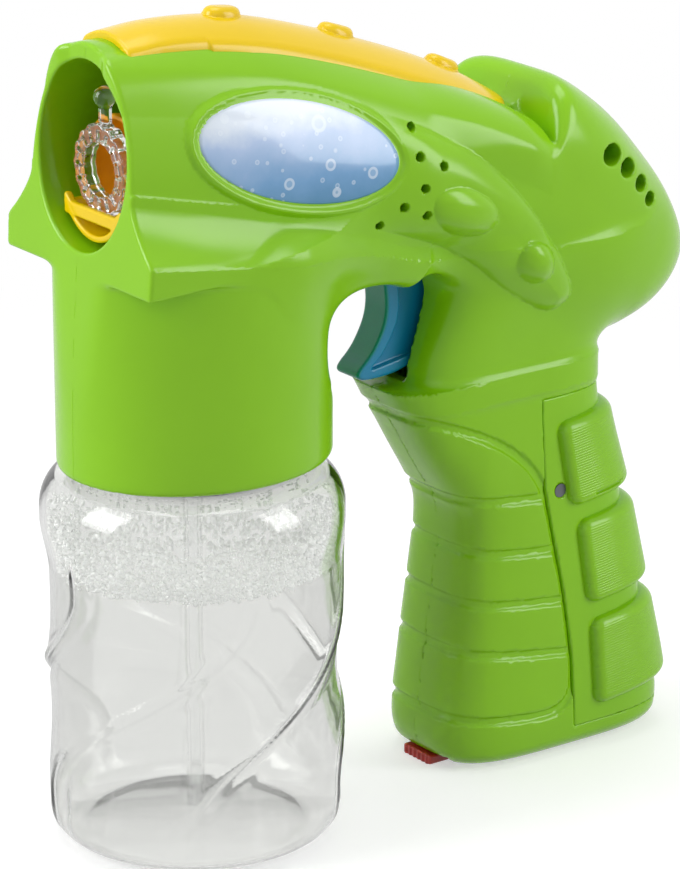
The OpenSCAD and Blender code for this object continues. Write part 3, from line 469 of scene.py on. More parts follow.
def sample(field, axes, block=8, batch=240):
    """Field values on the grid, worked out only in blocks that the surface may cross."""
    shape = [len(a) for a in axes]
    vals = np.empty(shape, np.float32)
    heads = [np.arange(0, n, block) for n in shape]
    ends = [np.minimum(c + block, n) for c, n in zip(heads, shape)]
    mids = [(a[c] + a[e - 1]) / 2 for a, c, e in zip(axes, heads, ends)]
    half = [(a[e - 1] - a[c]) / 2 for a, c, e in zip(axes, heads, ends)]
    core = field(mids[0][:, None, None], mids[1][None, :, None], mids[2][None, None, :])
    far = np.sqrt(half[0][:, None, None] ** 2 + half[1][None, :, None] ** 2
                  + half[2][None, None, :] ** 2)
    crossed = abs(core) < 1.5 * far + 1.2
    for i, j, k in np.argwhere(~crossed):
        vals[heads[0][i]:ends[0][i], heads[1][j]:ends[1][j], heads[2][k]:ends[2][k]] = core[i, j, k]
    spans = [np.minimum(c[:, None] + np.arange(block), n - 1) for c, n in zip(heads, shape)]
    todo = np.argwhere(crossed)
    for s in range(0, len(todo), batch):
        part = todo[s:s + batch]
        ix, iy, iz = [spans[i][part[:, i]] for i in range(3)]
        vals[ix[:, :, None, None], iy[:, None, :, None], iz[:, None, None, :]] = field(
            axes[0][ix][:, :, None, None], axes[1][iy][:, None, :, None],
            axes[2][iz][:, None, None, :])
    return vals


def surface(field, axes):
    """One vertex for each cell that the surface crosses, and a quad for each crossed edge."""
    shape = [len(a) for a in axes]
    vals = sample(field, axes)
    neg = vals < 0
    cut = [s - 1 for s in shape]
    count = sum(neg[i:i + cut[0], j:j + cut[1], k:k + cut[2]].astype(np.int8)
                for i, j, k in CORNERS)
    cells = np.argwhere((count > 0) & (count < 8))
    ids = np.full(cut, -1, np.int64)
    ids[tuple(cells.T)] = np.arange(len(cells))
    corner = np.stack([vals[tuple((cells + c).T)] for c in CORNERS], 1).astype(float)
    total, hits = np.zeros((len(cells), 3)), np.zeros(len(cells))
    for a, b in EDGES:
        va, vb = corner[:, a], corner[:, b]
        on = (va < 0) != (vb < 0)
        t = np.where(on, va / np.where(on, va - vb, 1), 0)[:, None]
        total += np.where(on[:, None], CORNERS[a] + t * (CORNERS[b] - CORNERS[a]), 0)
        hits += on
    part = total / hits[:, None]
    gaps = np.stack([np.diff(a)[cells[:, i]] for i, a in enumerate(axes)], 1)
    start = np.stack([a[cells[:, i]] for i, a in enumerate(axes)], 1) + part * gaps
    quads = []
    for axis in range(3):
        u, v = (axis + 1) % 3, (axis + 2) % 3
        n0 = np.moveaxis(neg, (axis, u, v), (0, 1, 2))
        flip = n0[:-1, 1:-1, 1:-1] != n0[1:, 1:-1, 1:-1]
        at = np.argwhere(flip)
        sign = n0[:-1, 1:-1, 1:-1][tuple(at.T)]
        idv = np.moveaxis(ids, (axis, u, v), (0, 1, 2))
        i, j, k = at.T
        q = np.stack([idv[i, j, k], idv[i, j + 1, k], idv[i, j + 1, k + 1], idv[i, j, k + 1]], 1)
        quads.append(np.where(sign[:, None], q, q[:, ::-1]))
    pts = start.copy()
    reach = 0.7 * gaps
    d = 0.04
    for _ in range(3):
        x, y, z = pts.T
        f = field(x, y, z)
        g = np.stack([field(x + d, y, z) - f, field(x, y + d, z) - f,
                      field(x, y, z + d) - f], 1) / d
        move = (f / np.maximum((g * g).sum(1), 0.05))[:, None] * g
        pts = np.clip(pts - np.clip(move, -reach, reach), start - reach, start + reach)
    x, y, z = pts.T
    e = 0.16
    normal = np.stack([field(x + e, y, z) - field(x - e, y, z),
                       field(x, y + e, z) - field(x, y - e, z),
                       field(x, y, z + e) - field(x, y, z - e)], 1)
    normal /= np.maximum(np.linalg.norm(normal, axis=1), 1e-9)[:, None]
    return pts, np.concatenate(quads), normal


def mesh_piece(name, pts, faces, normal=None):
    """Smooth piece from an array of faces with the same number of corners."""
    mesh = bpy.data.meshes.new(name)
    pts = np.asarray(pts, float) * MM
    faces = np.asarray(faces)
    n = faces.shape[1]
    mesh.vertices.add(len(pts))
    mesh.vertices.foreach_set("co", pts.astype(np.float32).ravel())
    mesh.loops.add(len(faces) * n)
    mesh.loops.foreach_set("vertex_index", faces.astype(np.int32).ravel())
    mesh.polygons.add(len(faces))
    mesh.polygons.foreach_set("loop_start", np.arange(0, len(faces) * n, n, dtype=np.int32))
    mesh.polygons.foreach_set("use_smooth", np.ones(len(faces), bool))
    mesh.update(calc_edges=True)
    mesh.validate()
    if normal is not None and len(mesh.vertices) == len(pts):
        mesh.normals_split_custom_set_from_vertices(normal.astype(np.float32))
    return show(mesh)


def mixed_piece(name, pts, faces):
    """Smooth piece from a list of faces that have three or four corners."""
    mesh = bpy.data.meshes.new(name)
    mesh.from_pydata((pts * MM).tolist(), [], [tuple(map(int, f)) for f in faces])
    mesh.polygons.foreach_set("use_smooth", np.ones(len(mesh.polygons), bool))
    mesh.validate()
    return show(mesh)


def show(data):
    """Object in the scene for a mesh or a lamp, under its name."""
    obj = bpy.data.objects.new(data.name, data)
    scene.collection.objects.link(obj)
    return obj


def solid(name, field, low, high, pitch, body, slot, *stands, mat=None, bands=((), (), ())):
    """Piece from a field, sampled in a box, that stands for nodes of the part."""
    pitch = np.atleast_1d(pitch) * np.ones(3) * 1
    axes = [stations(low[i], high[i], pitch[i], bands[i]) for i in range(3)]
    dress(mesh_piece(name, *surface(field, axes)), body, slot, *stands, mat=mat)


def dress(obj, body, slot, *stands, mat=None):
    """Give a piece its material, or else its slot's, its body and the nodes it stands for."""
    obj.data.materials.clear()
    obj.data.materials.append(mat or by_slot[slot])
    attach(obj, body)
    if stands:
        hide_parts(*stands)


# Materials.
def srgb(text):
    c = [int(text[i:i + 2], 16) / 255 for i in (0, 2, 4)]
    return tuple(v / 12.92 if v <= 0.04045 else ((v + 0.055) / 1.055) ** 2.4 for v in c) + (1,)


def put(n, **values):
    """Set a shader node's sockets by name, with _ for a space."""
    for k, v in values.items():
        n.inputs[k.replace("_", " ")].default_value = v


def link(source, socket):
    socket.id_data.links.new(source, socket)


def material(name, **sockets):
    mat = bpy.data.materials.new(name)
    mat.use_nodes = True
    tree = mat.node_tree
    bsdf = tree.nodes["Principled BSDF"]
    put(bsdf, **sockets)
    return mat, tree, bsdf


def node(tree, kind, **values):
    n = tree.nodes.new("ShaderNode" + kind)
    for k, v in values.items():
        if k in n.inputs:
            n.inputs[k].default_value = v
        else:
            setattr(n, k, v)
    return n


def noise(tree, scale, detail=2.0, rough=0.5):
    coord = tree.nodes.get("at") or node(tree, "TexCoord", name="at")
    n = node(tree, "TexNoise", Scale=scale, Detail=detail, Roughness=rough)
    link(coord.outputs["Object"], n.inputs["Vector"])
    return n.outputs["Fac"]


def ramp(tree, fac, stops):
    n = node(tree, "ValToRGB")
    while len(n.color_ramp.elements) < len(stops):
        n.color_ramp.elements.new(0.5)
    for e, (at, col) in zip(n.color_ramp.elements, stops):
        e.position = at
        e.color = col
    link(fac, n.inputs["Fac"])
    return n.outputs["Color"]


def shade(col, k):
    return tuple(min(1, c * k) for c in col[:3]) + (1,)


def spread(tree, fac, low, high, start=0.0, end=1.0, kind="LINEAR"):
    """Carry a value from the range start to end over to low to high."""
    n = node(tree, "MapRange", interpolation_type=kind)
    put(n, From_Min=start, From_Max=end, To_Min=low, To_Max=high)
    link(fac, n.inputs["Value"])
    return n.outputs["Result"]


def uneven(tree, bsdf, strength, distance, grain):
    """Fine unevenness of a surface, by bump."""
    b = node(tree, "Bump", Strength=strength, Distance=distance)
    link(noise(tree, grain, 2), b.inputs["Height"])
    link(b.outputs["Normal"], bsdf.inputs["Normal"])


def gloss(tree, bsdf, low, high, *grain):
    """Roughness that drifts between two values."""
    link(spread(tree, noise(tree, *grain), low, high), bsdf.inputs["Roughness"])


def over(tree, factor, base, colour):
    """A plain colour laid over another by a factor."""
    mix = node(tree, "Mix", data_type="RGBA")
    link(factor, mix.inputs["Factor"])
    link(base, mix.inputs[6])
    mix.inputs[7].default_value = srgb(colour)
    return mix.outputs[2]


def plastic(name, colour, rough=0.22, vary=0.05, bump=0.02, grain=900, **sockets):
    """Moulded plastic: a little colour drift, uneven gloss and a fine orange-peel skin."""
    mat, tree, bsdf = material(name, **sockets)
    col = srgb(colour)
    tints = [(0.3, shade(col, 1 - vary)), (0.7, shade(col, 1 + vary))]
    link(ramp(tree, noise(tree, 38, 3), tints), bsdf.inputs["Base Color"])
    gloss(tree, bsdf, rough * 0.82, rough * 1.2, 160, 4, 0.6)
    uneven(tree, bsdf, bump, 0.0002, grain)
    return mat


def clear(name, colour, rough=0.03, ior=1.5, bump=0.03, alpha=1.0):
    """Clear plastic or liquid. An alpha below one lets part of the light straight through."""
    mat, tree, bsdf = material(name, Base_Color=colour, Transmission_Weight=1, IOR=ior, Alpha=alpha)
    gloss(tree, bsdf, rough * 0.5, rough * 1.6, 90, 3)
    uneven(tree, bsdf, bump, 0.0004, 120)
    return mat


def trigger_paint_green_reflection():
    """Blue plastic, with a painted reflection: a teal tint for green light from the housing on the
    faces that turn to the front.
    """
    mat = plastic("trigger_abs", "067AA2", 0.3, 0.03)
    tree = mat.node_tree
    base = tree.nodes["Principled BSDF"].inputs["Base Color"]
    split = node(tree, "SeparateXYZ")
    link(node(tree, "NewGeometry").outputs["Normal"], split.inputs[0])
    # Painted reflection: faces turned towards the front are tinted teal, standing in for green
    # light reflected from the housing.
    front = spread(tree, split.outputs["X"], 0, 1, -0.3, -0.75)
    link(over(tree, front, base.links[0].from_socket, "0E9088"), base)
    return mat


def badge_paint():
    """Printed film: a pale sky over blue water, with plain bubbles of three sizes."""
    mat, tree, bsdf = material("badge_film", Coat_Weight=0.3)
    coord = node(tree, "TexCoord", name="at")
    flat = node(tree, "Mapping", Location=(-BADGE[0] / 1000, 0, -BADGE[1] / 1000))
    link(coord.outputs["Object"], flat.inputs["Vector"])
    split = node(tree, "SeparateXYZ")
    link(flat.outputs["Vector"], split.inputs[0])
    drift = node(tree, "Math", operation="MULTIPLY_ADD")
    drift.inputs[1].default_value = 0.35
    link(noise(tree, 110, 4, 0.6), drift.inputs[0])
    link(spread(tree, split.outputs["Z"], 0, 1, -0.012, 0.012), drift.inputs[2])
    colour = ramp(tree, drift.outputs[0], [(0.12, srgb("3F7FA6")), (0.45, srgb("6F9FCB")),
                                           (0.8, srgb("A9C0E2")), (1.0, srgb("DCE6F2"))])
    for scale, inner, outer, strength in ((160, 0.13, 0.19, 0.5), (330, 0.1, 0.17, 0.35),
                                          (75, 0.1, 0.13, 0.45)):
        cell = node(tree, "TexVoronoi", Scale=scale, Randomness=1.0)
        link(flat.outputs["Vector"], cell.inputs["Vector"])
        greys = [(0, 0.12), (inner * 0.8, 0.12), (inner, strength), (outer, strength * 0.9),
                 (outer + 0.02, 0)]
        ring = ramp(tree, cell.outputs["Distance"], [(at, (v, v, v, 1)) for at, v in greys])
        colour = over(tree, ring, colour, "E9F2FA")
    link(colour, bsdf.inputs["Base Color"])
    gloss(tree, bsdf, 0.16, 0.24, 300, 2)
    return mat


def froth_paint():
    """Foam, with a slight glow for the light that real foam scatters."""
    mat, tree, bsdf = material("froth", Base_Color=(0.97, 0.98, 0.97, 1), IOR=1.2,
                               Emission_Color=(1, 1, 1, 1), Emission_Strength=0.14)
    gloss(tree, bsdf, 0.02, 0.12, 500, 2)
    return mat


by_slot = {
    "green_plastic": plastic("green_abs", "84C00E", 0.2, 0.03, Specular_IOR_Level=0.38),
    "yellow_plastic": plastic("yellow_abs", "E6C200", 0.2, 0.03, Specular_IOR_Level=0.38),
    "blue_plastic": plastic("blue_abs", "0A7EA8", 0.26, 0.04),
    "red_plastic": plastic("red_abs", "BC3528", 0.3, 0.05),
    "black_plastic": plastic("black_abs", "1D1D1F", 0.4, 0.12, 0.05),
    "white_plastic": plastic("white_abs", "E6E6E1", 0.35, 0.03, 0.04),
    "gasket": plastic("rubber", "2B2B2C", 0.6, 0.15, 0.12),
    "board": plastic("board_green", "2E6B3A", 0.45, 0.12, 0.08),
    "cell_wrap": plastic("cell_wrap", "B8BCC2", 0.28, 0.08, 0.02, Metallic=0.7),
    "steel": plastic("steel", "B9BCC0", 0.26, 0.08, 0.04, 2400, Metallic=1.0),
    "clear_hose": clear("hose_clear", (0.93, 0.96, 0.96, 1), 0.08, 1.45),
    "clear_plastic": clear("ring_clear", (0.97, 0.98, 0.98, 1), 0.03, 1.5),
    "liquid": clear("liquid_clear", (0.97, 0.975, 0.965, 1), 0.0, 1.33, 0.0, alpha=0.18),
    "foam_white": froth_paint(),
    "badge_print": badge_paint()}
glass = clear("bottle_clear", (0.935, 0.94, 0.925, 1), 0.015, 1.45)
# Yellow plastic darkened to orange: painted shade for the air nozzle deep inside the tray.
yellow_painted_shade = plastic("yellow_abs_painted_shade", "DC9200", 0.35, 0.04)
trigger_blue = trigger_paint_green_reflection()
dark_steel = plastic("dark_steel", "6E7074", 0.34, 0.1, 0.04, 2400, Metallic=1.0)
tube = clear("tube_clear", (0.98, 0.985, 0.985, 1), 0.02, 1.3, alpha=0.25)
for item in frame["record"]["subparts"]:
    data = nodes[item["node"]].data
    data.materials.clear()
    data.materials.append(by_slot[item["material_slot"]])
nodes["door_screw"].data.materials[0] = dark_steel
nodes["dip_tube"].data.materials[0] = tube

# The housing halves, sampled more finely near the nose's rim, the speaker holes and the vents.
FINE = 0.76
CLOSER = (((-28, -22, 0.5), (31, 47, 0.36), (91, 107, 0.42)), ((13, 19, 0.5), (-19, -13, 0.5)),
          ((121, 152, 0.42), (166, 173, 0.5)))
solid("case_left", housing(True), (-31, -29, 0.2), (127, 0.8, 174), FINE, "body",
      "green_plastic", "housing_left", bands=CLOSER)
solid("case_right", housing(False), (-31, -0.8, 0.2), (127, 29, 174), FINE, "body",
      "green_plastic", "housing_right", bands=CLOSER)

# Battery door with its hinge barrel and the hole for its screw.
HINGE, LATCH = (118.2, 7.3), (85.4, 60.7)


def door_field(x, y, z):
    f = stack(x, y, z, GRIP)
    f = smax(f, -0.02 - door_side(x, z), 0.4)
    f = both(f, -stack(x, y, z, GRIP, -2.2))
    barrel = radial(x - HINGE[0] + 0.9, z - HINGE[1]) - 1.1
    f = np.minimum(f, both(barrel, abs(y) - 7))
    hole = radial(x - LATCH[0], z - LATCH[1])
    f = both(f, -both(hole - 1.5, y + 13.6))
    return both(f, -both(hole - 0.9, y))


solid("door_shell", door_field, (79, -18, 5), (120, 18, 83), 0.6, "door", "green_plastic",
      "battery_door")


def pad(k, high, low, edge_high, edge_low):
    """A pad wrapped round the strap, with rounded edges and fine ribs, closed behind."""
    rows = int((high - low) / (0.125))
    cols = 150
    rim, proud, sink, corner, thick = 2.4, 2.2, -0.6, 3.0, 0.9
    rib, rib_pitch = 0.045, 0.56
    pts, backs = np.zeros((rows, cols, 3)), np.zeros((rows, cols, 3))
    t = np.linspace(-math.pi, math.pi, 4001)
    c, s = np.cos(t), np.sin(t)
    for i, z in enumerate(np.linspace(low, high, rows)):
        f, r, w = [c(z) for c in GRIP]
        edge = edge_low + (edge_high - edge_low) * (z - low) / (high - low)
        px = (f + r) / 2 + (r - f) / 2 * np.sign(c) * abs(c) ** (2 / GRIP_N)
        py = w * np.sign(s) * abs(s) ** (2 / GRIP_N)
        keep = px >= edge
        px, py = px[keep], py[keep]
        run = np.concatenate([[0], np.cumsum(np.hypot(np.diff(px), np.diff(py)))])
        at = run[-1] * np.linspace(0, 1, cols)
        qx, qy = np.interp(at, run, px), np.interp(at, run, py)
        after = np.clip(np.searchsorted(run, at), 1, len(run) - 1)
        tx, ty = px[after] - px[after - 1], py[after] - py[after - 1]
        n = np.hypot(tx, ty) + 1e-9
        d_end = np.minimum(at, run[-1] - at)
        d_row = min(z - low, high - z)
        deep = corner - np.hypot(np.maximum(corner - d_end, 0), max(corner - d_row, 0))
        lift = (1 - (1 - unit(deep / rim)) ** 2.2) ** 0.5
        ribs = rib * np.cos(TAU * z / rib_pitch) * step((deep - 1.2) / 1.0)
        out = sink + (proud - sink) * lift + ribs
        if k == 1:  # the slit in the upper pad's left side
            slit = 1 - step((abs(z - 58.4) - 0.2) / 0.3)
            out = out - 0.9 * slit * step((4 - abs(qx - 97.4)) / 0.4) * (qy < 0)
        pts[i, :, 0] = qx + ty / n * out
        pts[i, :, 1] = qy - tx / n * out
        backs[i, :, 0] = qx - ty / n * thick
        backs[i, :, 1] = qy + tx / n * thick
        pts[i, :, 2] = backs[i, :, 2] = z + 0.09 * (qx - edge)
    grid = np.arange(rows * cols).reshape(rows, cols)
    outer = np.stack([grid[:-1, :-1], grid[:-1, 1:], grid[1:, 1:], grid[1:, :-1]], -1)
    outer = outer.reshape(-1, 4)
    inner = outer[:, ::-1] + rows * cols
    loop = np.concatenate([grid[0, :-1], grid[:-1, -1], grid[-1, :0:-1], grid[:0:-1, 0]])
    nxt = np.roll(loop, -1)
    wall = np.stack([loop, loop + rows * cols, nxt + rows * cols, nxt], 1)
    skins = np.concatenate([pts.reshape(-1, 3), backs.reshape(-1, 3)])
    obj = mesh_piece("pad_%d" % k, skins, np.concatenate([outer, inner, wall]))
    dress(obj, "door", "green_plastic", "battery_door")


for k, place in enumerate(PADS, 1):
    pad(k, *place)

# Trigger: a crescent with a rim along its front and foot, and a pocket in each side.
TRIGGER = soften([
    (45.6, 115), (46.4, 110), (46.8, 106), (46.2, 102.4), (44.7, 99.2), (42.6, 96), (39.2, 93),
    (39.3, 91.4), (42, 90.8), (50, 91.2), (57.4, 94.4), (59.6, 98), (61, 104), (61, 112), (57, 123),
    (49, 123)])


def trigger_field(x, y, z):
    d = inside(x, z, TRIGGER)
    y = abs(y)
    f = smax(-d, y - 4.2, 1.0)
    front = np.interp(z, [91, 93.2, 96, 99.2, 102.4, 106, 110, 116],
                      [43.4, 42.4, 45.6, 47.8, 49.4, 50, 49.7, 49])
    pocket = smax(front - x, 93.6 + 0.16 * (x - 46) - z, 1.2)
    pocket = smax(pocket, both(x - 64, z - 117), 0.3)
    f = smax(f, -smax(pocket, 2.9 - y, 0.5), 0.5)
    pin = radial(x - 52.5, z - 120.4)
    return both(f, 1.56 - pin)


solid("trigger_blade", trigger_field, (38, -5, 90), (62.4, 5, 124.6), 0.34, "trigger",
      "blue_plastic", "trigger", mat=trigger_blue)


# The trigger's return spring, which the trigger holds at one end and the body at the other.
def return_spring():
    turns, steps, sides = 5, 120, 10
    start, length, middle, coil, wire = 60.1, 11, 98.5, 2.7, 0.35
    i = np.repeat(np.arange(steps + 1), sides)
    a = TAU * turns * i / steps
    b = np.tile(np.arange(sides) * TAU / sides, steps + 1)
    r = coil + wire * np.cos(b)
    pts = np.stack([start + length * i / steps + wire * np.sin(b), r * np.cos(a),
                    middle + r * np.sin(a)], 1)
    grid = np.arange(len(pts)).reshape(steps + 1, sides)
    p, q = grid[:-1], grid[1:]
    pn, qn = np.roll(p, -1, 1), np.roll(q, -1, 1)
    ends = [[grid[0, 0], grid[0, k], grid[0, k + 1]] for k in range(1, sides - 1)]
    ends += [[grid[-1, 0], grid[-1, k + 1], grid[-1, k]] for k in range(1, sides - 1)]
    faces = [np.stack(f, -1).reshape(-1, 3) for f in ([p, q, pn], [pn, q, qn])]
    obj = mesh_piece("return_spring", pts, np.concatenate(faces + [ends]))
    obj.data.materials.append(by_slot["steel"])
    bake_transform(obj)
    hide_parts("trigger_spring")


return_spring()

# Top rail with its lip and three lozenge bumps, each at a place with a slope.
RAIL_BUMPS = [(8.2, -0.12), (36.2, -0.34), (63.4, -0.46)]


def rail_field(x, y, z):
    xr = np.clip(x, -19.4, 77.6)
    y = abs(y)
    top = rail_crown(xr) - 4.2 * (y / 10.6) ** 2
    f = smax((z - top) * 0.92, y - rail_wide(xr), 1.7)
    f = both(f, -0.5 - head(x, y, z, line_top))
    f = smax(f, band(x, -19.4, 77.7), 0.5)
    for at, slope in RAIL_BUMPS:
        crown = (at, float(rail_crown(np.array(at))))
        u, w = turned(x, z, crown, math.degrees(math.atan(slope)))
        f = np.minimum(f, smax(smax(oval(u, y, 4.1, 2.9, 2.3), w - 1.75, 2.2), -1.2 - w, 0.2))
    return f


solid("rail_top", rail_field, (-20.6, -12.8, 140), (80, 12.8, 177), 0.55, "body",
      "yellow_plastic", "top_rail")


# Badges: thin printed films lying in their recess.
def badge(name, side, stands):
    rings, spokes = ((26, 144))
    inset, proud, thick = 0.35, 0.16, 0.3
    pts = [(0.0, 0.0)]
    for i in range(1, rings + 1):
        for j in range(spokes):
            t = TAU * j / spokes
            pts.append((i / rings * (BADGE_A - inset) * math.cos(t),
                        i / rings * (BADGE_B - inset) * math.sin(t)))
    p = np.array(pts)
    c, s = math.cos(math.radians(BADGE_TILT)), math.sin(math.radians(BADGE_TILT))
    x = BADGE[0] + p[:, 0] * c - p[:, 1] * s
    z = BADGE[1] + p[:, 0] * s + p[:, 1] * c
    low, high = np.full(len(p), 8.0), np.full(len(p), 27.0)
    for _ in range(40):
        mid = (low + high) / 2
        within = form(x, mid, z) < 0
        low, high = np.where(within, mid, low), np.where(within, high, mid)
    lift = proud * (1 - np.linspace(0, 1, rings + 1) ** 12)
    lift = np.concatenate([[lift[0]], np.repeat(lift[1:], spokes)])
    front = np.stack([x, side * (low + lift), z], 1)
    back = np.stack([x, side * (low - thick), z], 1)
    n = len(p)
    grid = 1 + np.arange(rings * spokes).reshape(rings, spokes)
    turn = np.roll(grid, -1, 1)
    quads = np.stack([grid[:-1], grid[1:], turn[1:], turn[:-1]], -1).reshape(-1, 4)
    cap = np.stack([np.zeros(spokes, int), grid[0], turn[0]], 1)
    wall = np.stack([grid[-1], grid[-1] + n, turn[-1] + n, turn[-1]], 1)
    faces = [*cap, *(cap[:, ::-1] + n), *quads, *(quads[:, ::-1] + n), *wall]
    if side < 0:
        faces = [f[::-1] for f in faces]
    obj = mixed_piece(name, np.concatenate([front, back]), faces)
    dress(obj, "body", "badge_print", stands)


badge("badge_film_left", -1, "badge_left")
badge("badge_film_right", 1, "badge_right")

# Bubble ring: scalloped all round, on a stem with its inlet knob and pipe.
TEETH = 16


def ring_field(x, y, z):
    r = radial(y, z - RING[2])
    t = np.arctan2(y, z - RING[2])
    wave = 0.5 + 0.5 * np.cos(TEETH * t)
    u = x - RING[0]
    f = smax(r - 8.95 - 0.45 * wave, 5.4 + 0.25 * wave - r, 0.6)
    f = smax(f, abs(u) - 1.6, 0.5)
    tooth = t * TEETH / TAU
    across = abs(tooth - np.round(tooth)) * r * TAU / TEETH
    slot = both(across - 0.42, abs(r - 7.1) - 1.1, u + 0.75)
    f = smax(f, -slot, 0.25)
    stem = smax(smax(abs(y) - 1.1, abs(u - 0.2) - 1.1, 0.5),
                band(z, RING[2] + 8, INLET_Z), 0.2)
    knob = np.sqrt((u - 0.1) ** 2 * 0.9 + y * y + (z - INLET_Z) ** 2) - 2.2
    pipe = both(radial(y, z - INLET_Z) - 1.5, -u, x - 5)
    return smin(f, smin(stem, smin(knob, pipe, 0.5), 0.6), 0.6)


solid("ring_clear_piece", ring_field, (-22.4, -10, 135.4), (5.6, 10, 163), (0.3, 0.26, 0.26),
      "body", "clear_plastic", "bubble_ring")

# Drip tray under the ring, with its crossbar, spout and the air nozzle behind the ring.
TRAY_X, TRAY_Z, TRAY_END = -23.2, 142.2, -2.2


def tray_field(x, y, z):
    r = radial(y, z - TRAY_Z)
    ya = abs(y)
    trough = smax(band(r, 9.8, 11.2), z - TRAY_Z + 4.5, 0.4)
    trough = smax(trough, band(x, TRAY_X, TRAY_END), 0.5)
    back = both(r - 11.2, z - TRAY_Z + 4.5)
    f = smin(trough, both(back, band(x, -3.6, TRAY_END)), 0.4)
    horn = 1.6 * step((ya - 7.4) / 2.6)
    bar = smax(smax(ya - 10.3, abs(x - TRAY_X - 0.75) - 0.75, 0.4),
               both(z - 137.6 - horn, 134.9 - z), 0.4)
    f = smin(f, bar, 0.3)
    spout = radial(x - SPOUT_X, y)
    pipe = both(band(spout, 2.1, 3), band(z, 105, 132.4))
    return both(np.minimum(f, pipe), -both(spout - 2.1, z - 136))


solid("tray", tray_field, (-24, -11.8, 104.4), (-1.4, 11.8, 140.8), 0.4, "body",
      "yellow_plastic", "drip_tray")


def nozzle_field(x, y, z):
    r = radial(y, z - RING[2])
    flare = 4.0 * step((-3 - x) / 14)
    f = smax(r - 6.7 - flare, 5.6 + flare - r, 0.4)
    return smax(f, band(x, -17.4, TRAY_END), 0.5)


# The nozzle is yellow plastic like the tray. Its darker orange is painted shade for the hollow it
# sits in.
solid("air_nozzle", nozzle_field, (-18.2, -11.4, 134), (-1.4, 11.4, 157), 0.45, "body",
      "yellow_plastic", "drip_tray", mat=yellow_painted_shade)


# Red slider under the grip's front, with ribs across its nose side.
def slider_field(x, y, z):
    y = y - 0.2
    f = smax(smax(abs(x - 61.1) - 3.2, abs(y) - 4.8, 1.0), abs(z - 1.1) - 1.1, 0.6)
    rib = abs(y / 1.5 - np.round(y / 1.5)) * 1.5
    f = smax(f, -both(rib - 0.35, x - 58.3, z - 3), 0.2)
    stem = both(abs(x - 63.1) - 0.9, abs(y) - 1.4)
    return np.minimum(f, both(stem, abs(z - 3.2) - 1.6))


solid("slider_red", slider_field, (57, -5.6, -0.6), (65.4, 6, 5.4), 0.3, "slider",
      "red_plastic", "power_slider")

# Bottle: round at foot and shoulder, with panels that swirl round its middle.
PANELS = 5
bottle_r = curve([
    [0, 24.2], [0.8, 26.6], [2.2, 28.8], [4.4, 30.4], [7.5, 31.3], [14, 31.6], [27, 31.3],
    [45, 31.1], [60, 31.3], [70, 31.6], [73.6, 31.4], [76.4, 30.4], [78.6, 28.6], [79.8, 26.6],
    [80.4, 24.4]])


def panel(t, z):
    """How far the swirled panels stand in from the round form."""
    turn = math.radians(92) * step((z - 12) / 46) + math.radians(20)
    u = (t - turn) * PANELS / TAU
    u = u - np.floor(u)
    flat = 1 - abs(2 * u - 1) ** 2.2
    fold = np.exp(-((u - 0.1) / 0.055) ** 2)
    for seam in (0.0, 1.0):
        fold = fold - 0.55 * np.exp(-((u - seam) / 0.04) ** 2)
    much = step((z - 1.5) / 9) * step((70 - z) / 12)
    return much * (1.15 * flat + 0.6 * fold + 0.3)


def shell(name, zs, radius, body, slot, *stands, mat=None):
    """Closed form of rings whose radius depends on turn and height."""
    spokes = 320
    t = np.linspace(0, TAU, spokes, endpoint=False)
    rows = [np.stack([radius(t, i, z) * np.cos(t), radius(t, i, z) * np.sin(t),
                      np.full(spokes, z)], 1) for i, z in enumerate(zs)]
    n = len(rows)
    grid = np.arange(n * spokes).reshape(n, spokes)
    turn = np.roll(grid, -1, 1)
    sides = np.stack([grid[:-1], turn[:-1], turn[1:], grid[1:]], -1).reshape(-1, 4)
    hubs = [[0, 0, zs[0]], [0, 0, zs[-1]]]
    first = np.stack([np.full(spokes, n * spokes), turn[0], grid[0]], 1)
    last = np.stack([np.full(spokes, n * spokes + 1), grid[-1], turn[-1]], 1)
    obj = mixed_piece(name, np.concatenate(rows + [hubs]), [*sides, *first, *last])
    dress(obj, body, slot, *stands, mat=mat)


WALL, FILL_Z = 1.2, 60.0
THREAD_Z, THREAD_PITCH = 88.5, 4


